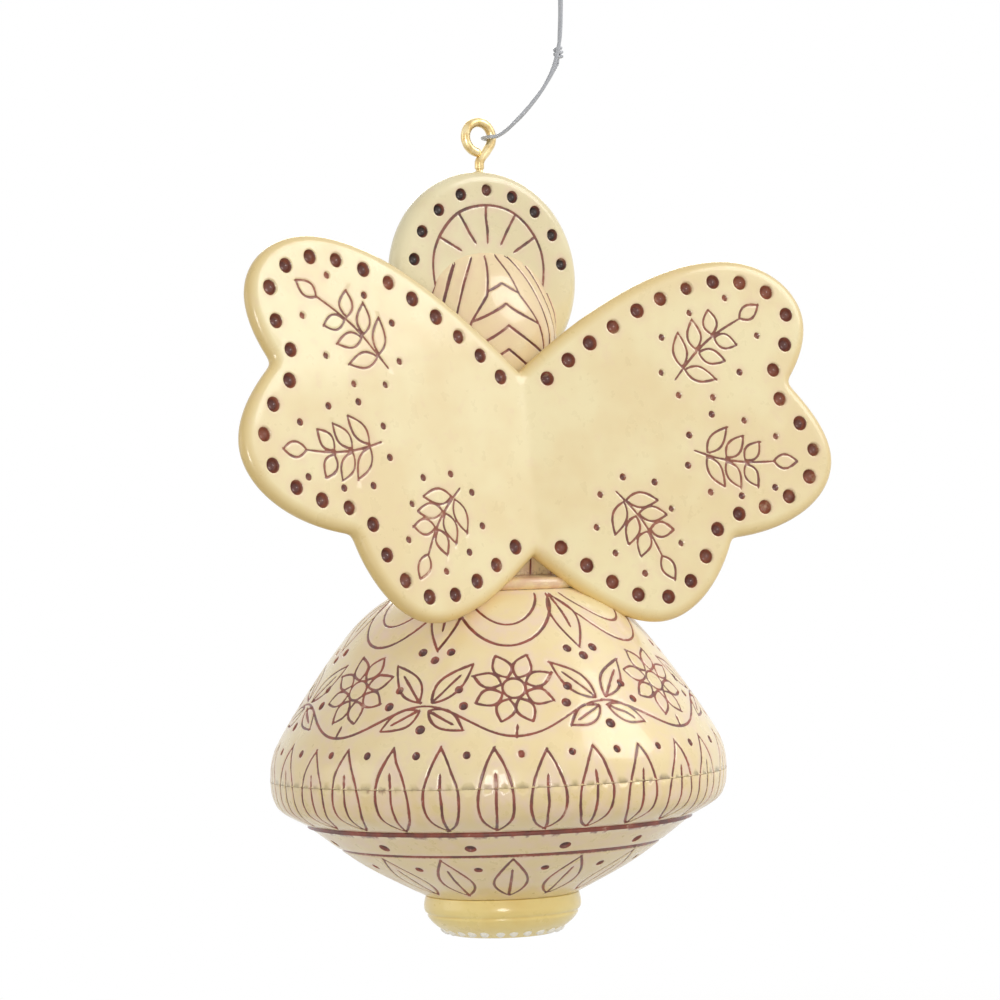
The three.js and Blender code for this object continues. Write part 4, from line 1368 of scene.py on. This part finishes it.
edge_far = np.linspace(hair_long, hair_far(face_top + 0.5), 50)
edge_height = np.interp(edge_far, hair_run, hair_heights)
edge_radius = np.interp(edge_far, hair_run, hair_radii)
rise = np.clip((edge_height - head_middle[2]) / face_half_height, 0, 1)
opening = face_half_width * np.sqrt(np.clip(1 - rise ** 2, 0, 1))
edge_turn = np.pi - np.arcsin(np.clip(opening / edge_radius, 0, 0.99))
widest_turn = edge_turn[0]
hem_turn = np.linspace(-widest_turn, widest_turn, hem_points)
hair_loop = np.concatenate([
    hair_at(hem_turn, np.full(hem_points, hair_long)), hair_at(edge_turn, edge_far)[1:],
    hair_at(-edge_turn, edge_far)[-2:0:-1],
])
hair_strokes = []
hair_stop = hair_long - 0.1
t = np.linspace(0, 1, 50)
for side in (1, -1):
    far = plait_start + (hair_stop - plait_start) * t
    hair_strokes.append((wobble(hair_at(side * plait_turn(far), far), 0.05), strand_half, strand_depth))
    for start, high, low in back_strands:
        strand = hair_at(side * np.radians(high + (low - high) * t), start + (hair_stop - start) * t)
        hair_strokes.append((wobble(strand, 0.05), strand_half * dice.uniform(0.85, 1.15), strand_depth))
    for k in side_strands:
        lean = math.radians(side_strand_first + side_strand_gap * k)
        start = 2.5 + 0.6 * (k % 2) + 0.25 * k
        stop = hair_stop
        if lean > widest_turn - 0.12:
            continue
        if lean > edge_turn.min():
            stop = np.interp(lean, edge_turn[::-1], edge_far[::-1]) - 0.3
        if stop - start > 2:
            turn = side * (lean + math.radians(8) * np.sin(2.6 * t) * (1 - 0.05 * k))
            turn = np.clip(turn, 0.05 - widest_turn, widest_turn - 0.05)
            strand = wobble(hair_at(turn, start + (stop - start) * t), 0.05)
            hair_strokes.append((strand, side_strand_half * dice.uniform(0.85, 1.15), side_strand_depth))
for far in np.arange(chevron_first, hair_long - 0.6, chevron_gap):
    across = np.linspace(-1, 1, 41)
    half_width = np.interp(far, hair_run, hair_radii) * math.sin(plait_turn(far + 2))
    legs = far + 0.62 * half_width * np.abs(across) ** 0.95
    shown = legs < hair_long - 0.15
    chevron = hair_at(plait_turn(legs[shown]) * across[shown], legs[shown])
    hair_strokes.append((wobble(chevron, 0.04), strand_half, strand_depth))
hair_resin = resin("hair_resin", srgb(247, 228, 184), srgb(241, 218, 172), srgb(234, 198, 170), 0.5,
                   srgb(140, 76, 62), srgb(84, 44, 42))
field = flat_field(hair_loop, 0.85, 0.35)
outer = carved_sheet(hair_place, hair_find, hair_strokes, [], [hair_loop], field)
outer_points, outer_faces, outer_marks = outer
sideways = hair_place(hair_find(outer_points))[1] * (1, 0, 1)
sideways /= np.linalg.norm(sideways, axis=1)[:, None] + 1e-6
off_halo = np.clip((np.abs(outer_points[:, 1]) - halo_half + 0.3) / 2.2, 0, 1)
above = np.clip((outer_points[:, 2] - halo_bottom) / 2.5, 0, 1)
outer_points = outer_points + sideways * (halo_swell * (1 - off_halo) ** 2 * above)[:, None]
field = flat_field(hair_loop, 1.4, 0.6)
inner_points, inner_faces = carved_sheet(hair_place, hair_find, [], [], [hair_loop], field)[:2]
inner_points = inner_points - hair_wall * hair_place(hair_find(inner_points))[1]
inner_points[:len(hair_loop)] = hair_place(hair_loop, hair_wall)[0]
rim_points = np.concatenate([hair_place(hair_loop)[0], hair_place(hair_loop, hair_wall)[0]])
make_piece("hair_cast", [(outer_points, outer_faces, outer_marks), (inner_points, inner_faces),
                         (rim_points, grid_faces(2, len(hair_loop)))],
           hair_resin, "angel", "resin", "hair")


# Halo: a thick disc of resin with a soft edge, cast on its own and glued astride the hair.
# Both faces have a ring of drilled pits and a circle with rays, which run out from behind the head.
halo_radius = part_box("halo")[1].x / MM
halo_height = hair_top - 3.2
halo_edge = 1.6
halo_tuck = 1.6
halo_cut = halo_bottom - halo_height - halo_tuck
halo_pits = range(-4, 5)
halo_pit_ring = 11.4
halo_pit_radius = 0.85
halo_pit_depth = 0.8
halo_pit_step = math.radians(20)
halo_rays = range(1, 6)
halo_ray_gap = 30
halo_circle = 8.5
circle_up = 1.0
halo_line_half = 0.26
halo_line_depth = 0.24
hair_overlap = 0.7
arc_points = 110
behind_hair = (halo_half - hair_middle) / hair_flatten
cut_radius = float(np.interp(hair_far(halo_height + halo_cut), hair_run, hair_radii))
inner_half_width = math.sqrt(cut_radius ** 2 - behind_hair ** 2) - hair_overlap
inner_rise = float(np.interp(behind_hair, hair_radii[:60], hair_heights[:60])) - halo_height - hair_overlap
first = math.asin(halo_cut / halo_radius)
arc = np.linspace(math.pi - first, first, arc_points)
outer_edge = np.stack([halo_radius * np.cos(arc), halo_radius * np.sin(arc)], axis=1)
inner_arc = np.linspace(0, math.pi, 40)
inner_edge = np.stack([inner_half_width * np.cos(inner_arc),
                       halo_cut + (inner_rise - halo_cut) * np.sin(inner_arc) ** 0.8], axis=1)
cut_right = along([outer_edge[-1], inner_edge[0]], 0.45)[1:-1]
cut_left = along([inner_edge[-1], outer_edge[0]], 0.45)[1:-1]
halo_outline = np.concatenate([outer_edge, cut_right, inner_edge, cut_left])
halo_ahead = np.roll(halo_outline, -1, axis=0) - np.roll(halo_outline, 1, axis=0)
halo_ahead /= np.linalg.norm(halo_ahead, axis=1)[:, None]
halo_normals = np.stack([-halo_ahead[:, 1], halo_ahead[:, 0]], axis=1)
halo_soft = np.where(np.arange(len(halo_outline)) < arc_points, halo_edge, 0.25)[:, None]
halo_rim = halo_outline - halo_normals * halo_soft
halo_resin = resin("halo_resin", srgb(239, 229, 190), srgb(231, 218, 176), srgb(232, 204, 180), 0.7,
                   srgb(146, 84, 66), srgb(46, 24, 22))


def halo_place(depth):
    """Sheet coordinates at one depth in the halo, across and up from its middle."""

    def place(flat):
        flat = np.array(flat, float)
        points = np.stack([flat[:, 0], np.full(len(flat), depth), halo_height + flat[:, 1]], axis=1)
        return points, np.repeat([[0.0, np.sign(depth), 0.0]], len(flat), axis=0)

    def find(points):
        return np.stack([points[:, 0], points[:, 2] - halo_height], axis=1)

    return place, find


halo_parts = []
circle_turn = np.radians(np.linspace(-24, 204, 150))
circle = np.stack([halo_circle * np.cos(circle_turn), circle_up + halo_circle * np.sin(circle_turn)], axis=1)
for depth in (halo_half, -halo_half):
    strokes = [(wobble(circle, 0.05), halo_line_half, halo_line_depth)]
    pits = []
    for k in halo_rays:
        turn = math.radians(halo_ray_gap * k + dice.uniform(-2, 2))
        reach = np.linspace(3.6 + 1.6 * math.cos(turn) ** 2, halo_circle - 0.1, 20)
        ray = np.stack([reach * math.cos(turn), circle_up + reach * math.sin(turn)], axis=1)
        strokes.append((wobble(ray, 0.05), halo_line_half, halo_line_depth))
    for k in halo_pits:
        turn = halo_pit_step * k
        spot = np.array([halo_pit_ring * math.sin(turn), halo_pit_ring * math.cos(turn)])
        taken_up = 0.3 if k == 0 else 1.0
        pits.append((spot + dice.normal(0, 0.08, 2), halo_pit_radius, halo_pit_depth, taken_up))
    field = flat_field(halo_rim, 0.8, 0.4)
    halo_parts.append(carved_sheet(*halo_place(depth), strokes, pits, [halo_rim], field))
rim_rows = []
for a in rim_rounds:
    place = halo_place(halo_half * math.cos(a))[0]
    rim_rows.append(place(halo_rim + halo_normals * halo_soft * math.sin(a))[0])
halo_parts.append((np.concatenate(rim_rows), grid_faces(len(rim_rounds), len(halo_rim))))
make_piece("halo_cast", halo_parts, halo_resin, "angel", "resin", "halo")


# Eye pin: a small gilt screw eye, a wire bent into a ring over a threaded shank.
# The shank is glued down into a hole in the top edge of the halo.
wire_radius = 0.62
eye_radius = 2.0
shank_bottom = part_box("eye_pin")[0].z / MM
thread_top = -4.2
thread_pitch = 0.7
thread_depth = 0.09
tip_steps = 4
gilt, tree, shader = new_material("gilt_wire")
shader.inputs["Metallic"].default_value = 1.0
tarnish = noise(tree, tree.nodes.new("ShaderNodeTexCoord").outputs["Object"], 900, 4.0)
polish = limits(tree, tarnish, 0.32, 0.62, easing="LINEAR")
tree.links.new(blend(tree, polish, srgb(204, 172, 112), srgb(240, 220, 170)), shader.inputs["Base Color"])
tree.links.new(limits(tree, tarnish, 0.0, 1.0, 0.42, 0.2, "LINEAR"), shader.inputs["Roughness"])
turn = np.radians(np.linspace(-94, 222, 78))
loop_wire = np.stack([eye_radius * np.cos(turn), 0 * turn, eye_radius * np.sin(turn)], axis=1)
neck_wire = smooth([loop_wire[-1], (-0.95, 0, -2.05), (-0.42, 0, -2.6), (-0.08, 0, -3.2), (0, 0, -4.0),
                    (0, 0, shank_bottom)], 80)
wire = along(np.concatenate([loop_wire, neck_wire[1:]]), 0.12)
groove = thread_depth * (np.sin(wire[:, 2] * 2 * np.pi / thread_pitch) - 1)
wire_radii = wire_radius + np.where(wire[:, 2] < thread_top, groove, 0)
wire_radii *= 0.55 + 0.45 * np.sqrt(np.minimum(np.arange(len(wire)), tip_steps) / tip_steps)
eye_points, eye_faces = tube(wire, wire_radii, 28)
make_piece("eye_pin_gilt", [(eye_points - (0, 0, ground), eye_faces)], gilt, "angel", "gold", "eye_pin")


# Hanging line: a loop of clear nylon line through the eye, its two ends tied together in a small knot.
# It stands up stiffly to one side and turns about the eye.
line_diameter = 0.0005
line_route = [
    (-9.85, 4.45, 9.6), (-8.5, 3.6, 7.0), (-6.8, 2.5, 4.3), (-4.9, 1.0, 1.9), (-3.5, -0.55, 0.5),
    (-2.0, -1.17, 0), (-1.17, -0.83, 0), (-0.83, 0, 0), (-1.17, 0.83, 0), (-2.0, 1.3, 0.1),
    (-2.9, 2.1, 0.7), (-3.9, 3.1, 1.9), (-5.8, 4.4, 4.3), (-7.6, 5.3, 7.0), (-9.0, 6.0, 11.0),
    (-9.5, 6.4, 17.0), (-9.2, 6.9, 25.0), (-8.7, 7.3, 33.0), (-8.75, 6.9, 37.4), (-9.65, 5.35, 39.6),
    (-10.55, 3.8, 37.4), (-10.85, 3.5, 33.0), (-10.75, 4.1, 25.0), (-10.45, 4.65, 17.0), (-10.2, 4.6, 12.6),
]
knot_radius = 0.44
knot_tall = 1.5
knot_turns = 2.6
knot_steps = 90
knot_columns = 14
nylon, tree, shader = new_material("clear_nylon")
shader.inputs["Roughness"].default_value = 0.22
shader.inputs["IOR"].default_value = 1.53
shader.inputs["Transmission Weight"].default_value = 0.1
cloudy = noise(tree, tree.nodes.new("ShaderNodeTexCoord").outputs["Object"], 60)
tree.links.new(blend(tree, cloudy, srgb(180, 184, 192), srgb(206, 209, 215)), shader.inputs["Base Color"])
line_curve = bpy.data.curves.new("hanging_line_nylon", "CURVE")
line_curve.dimensions = "3D"
line_curve.bevel_depth = line_diameter / 2
line_curve.bevel_resolution = 4
line_curve.resolution_u = 8
line_curve.use_fill_caps = True
spline = line_curve.splines.new("BEZIER")
spline.bezier_points.add(len(line_route) - 1)
for point, place_mm in zip(spline.bezier_points, line_route):
    point.co = Vector(place_mm) * MM
    point.handle_left_type = "AUTO"
    point.handle_right_type = "AUTO"
line_curve.materials.append(nylon)
line = new_object("hanging_line_nylon", line_curve)
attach(line, "hanging_loop")
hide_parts("hanging_line")
line_ends = np.array([line_route[0], line_route[-1]])
knot_middle = line_ends.mean(axis=0)
strand_radius = line_diameter / 2 / MM
t = np.linspace(0, 1, knot_steps)
coil_turn = 2 * np.pi * knot_turns * t
tuck_in = np.interp(np.minimum(np.arange(knot_steps), np.arange(knot_steps)[::-1]), (0, 11), (0.2, 1))
coil = np.stack([knot_radius * tuck_in * np.cos(coil_turn), knot_radius * tuck_in * np.sin(coil_turn),
                 knot_tall * (t - 0.5)], axis=1)
knot_parts = []
for strand in (coil + knot_middle, along(line_ends, 0.3)):
    strand_points, strand_faces = tube(strand, np.full(len(strand), strand_radius), knot_columns)
    knot_parts.append((strand_points - (0, 0, ground), strand_faces))
knot = make_piece("line_knot_nylon", knot_parts, nylon, "hanging_loop", "nylon", "line_knot")


# Room: a plain pale floor some way under the hanging ornament, and soft studio light from all round,
# brightest from the upper right of the picture. Sizes are metres.
camera_turn = math.radians(31.06)
camera_roll = math.radians(-1.81)
camera_distance = 0.4294
camera_height = -0.0557
camera_lens = 117.28
aim_right = 0.0031
aim_up = 0.018
floor_half = 3
floor_drop = 0.06
lamp_tone = (1, 0.98, 0.95)
up = Vector((0, 0, 1))
toward_camera = Vector((math.sin(camera_turn), math.cos(camera_turn), 0))
picture_right = Vector((-toward_camera.y, toward_camera.x, 0))
object_middle = Vector((0, 0, ground * MM / 2))
lamps = (
    ("key", toward_camera * 0.25 + picture_right * 0.95 + up * 0.7, 0.7, 0.45, 2.2),
    ("side", toward_camera * 0.2 - picture_right + up * 0.1, 0.9, 0.6, 1.0),
    ("fill", toward_camera - up * 0.02, 0.7, 0.2, 1.15),
    ("front", -toward_camera + up * 0.6, 0.9, 0.6, 3.0),
)


def seen_rays(tree):
    """One for rays that look at the room, directly, in a reflection or through clear nylon."""
    rays = tree.nodes.new("ShaderNodeLightPath").outputs
    indirect = reckon(tree, "MAXIMUM", rays["Is Glossy Ray"], rays["Is Transmission Ray"])
    return reckon(tree, "MAXIMUM", rays["Is Camera Ray"], indirect)


def choose(tree, share, first, second):
    """One shader or another, by the share of the second."""
    node = tree.nodes.new("ShaderNodeMixShader")
    for socket, value in zip(node.inputs, (share, first, second)):
        tree.links.new(value, socket)
    return node.outputs[0]


floor_mesh = bpy.data.meshes.new("floor")
floor_low = ground * MM - floor_drop
floor_corners = ((-1, -1), (1, -1), (1, 1), (-1, 1))
floor_points = [(x * floor_half, y * floor_half, floor_low) for x, y in floor_corners]
floor_mesh.from_pydata(floor_points, [], [(0, 1, 2, 3)])
new_object("floor", floor_mesh)
pale, tree, shader = new_material("pale_floor")
shader.inputs["Roughness"].default_value = 0.9
where = tree.nodes.new("ShaderNodeTexCoord").outputs
seen = seen_rays(tree)
paper = blend(tree, noise(tree, where["Generated"], 40), (0.86, 0.86, 0.85, 1), (0.9, 0.9, 0.89, 1))
tree.links.new(blend(tree, seen, (0.5, 0.49, 0.47, 1), paper), shader.inputs["Base Color"])
distance = tree.nodes.new("ShaderNodeVectorMath")
distance.operation = "LENGTH"
tree.links.new(where["Object"], distance.inputs[0])
far_floor = reckon(tree, "MULTIPLY", limits(tree, distance.outputs["Value"], 0.22, 0.45), seen)
paper_white = tree.nodes.new("ShaderNodeEmission")
paper_white.inputs["Strength"].default_value = 1.0
below = reckon(tree, "MULTIPLY", tree.nodes.new("ShaderNodeNewGeometry").outputs["Backfacing"], seen)
from_above = choose(tree, far_floor, shader.outputs[0], paper_white.outputs[0])
see_through = tree.nodes.new("ShaderNodeBsdfTransparent")
floor_surface = choose(tree, below, from_above, see_through.outputs[0])
tree.links.new(floor_surface, tree.nodes["Material Output"].inputs["Surface"])
floor_mesh.materials.append(pale)
world = bpy.data.worlds.new("studio")
bpy.context.scene.world = world
world.use_nodes = True
tree = world.node_tree
studio = tree.nodes["Background"]
studio.inputs["Color"].default_value = (1, 0.985, 0.96, 1)
direction = tree.nodes.new("ShaderNodeSeparateXYZ")
tree.links.new(tree.nodes.new("ShaderNodeTexCoord").outputs["Generated"], direction.inputs[0])
overhead = limits(tree, direction.outputs["Z"], -0.7, 0.5, 0.12, 0.5, "LINEAR")
tree.links.new(overhead, studio.inputs["Strength"])
white = tree.nodes.new("ShaderNodeBackground")
white.inputs["Color"].default_value = (1, 1, 1, 1)
white.inputs["Strength"].default_value = 1.0
world_surface = choose(tree, seen_rays(tree), studio.outputs[0], white.outputs[0])
tree.links.new(world_surface, tree.nodes["World Output"].inputs["Surface"])
for name, toward, away, size, power in lamps:
    light = bpy.data.lights.new(name, "AREA")
    light.shape = "DISK"
    light.size = size
    light.energy = power
    light.color = lamp_tone
    lamp = new_object(name, light)
    lamp.location = object_middle + toward.normalized() * away
    lamp.rotation_euler = (object_middle - lamp.location).to_track_quat("-Z", "Y").to_euler()
camera_data = bpy.data.cameras.new("camera")
camera_data.sensor_width = 36
camera_data.lens = camera_lens
camera_data.clip_start = 0.01
camera = new_object("camera", camera_data)
camera.location = toward_camera * camera_distance + up * camera_height
aim = -toward_camera + picture_right * aim_right + up * aim_up
roll_turn = Matrix.Rotation(camera_roll, 3, "Z").to_quaternion()
camera.rotation_mode = "QUATERNION"
camera.rotation_quaternion = aim.to_track_quat("-Z", "Y") @ roll_turn
bpy.context.scene.camera = camera
bpy.context.scene.view_settings.view_transform = "Standard"
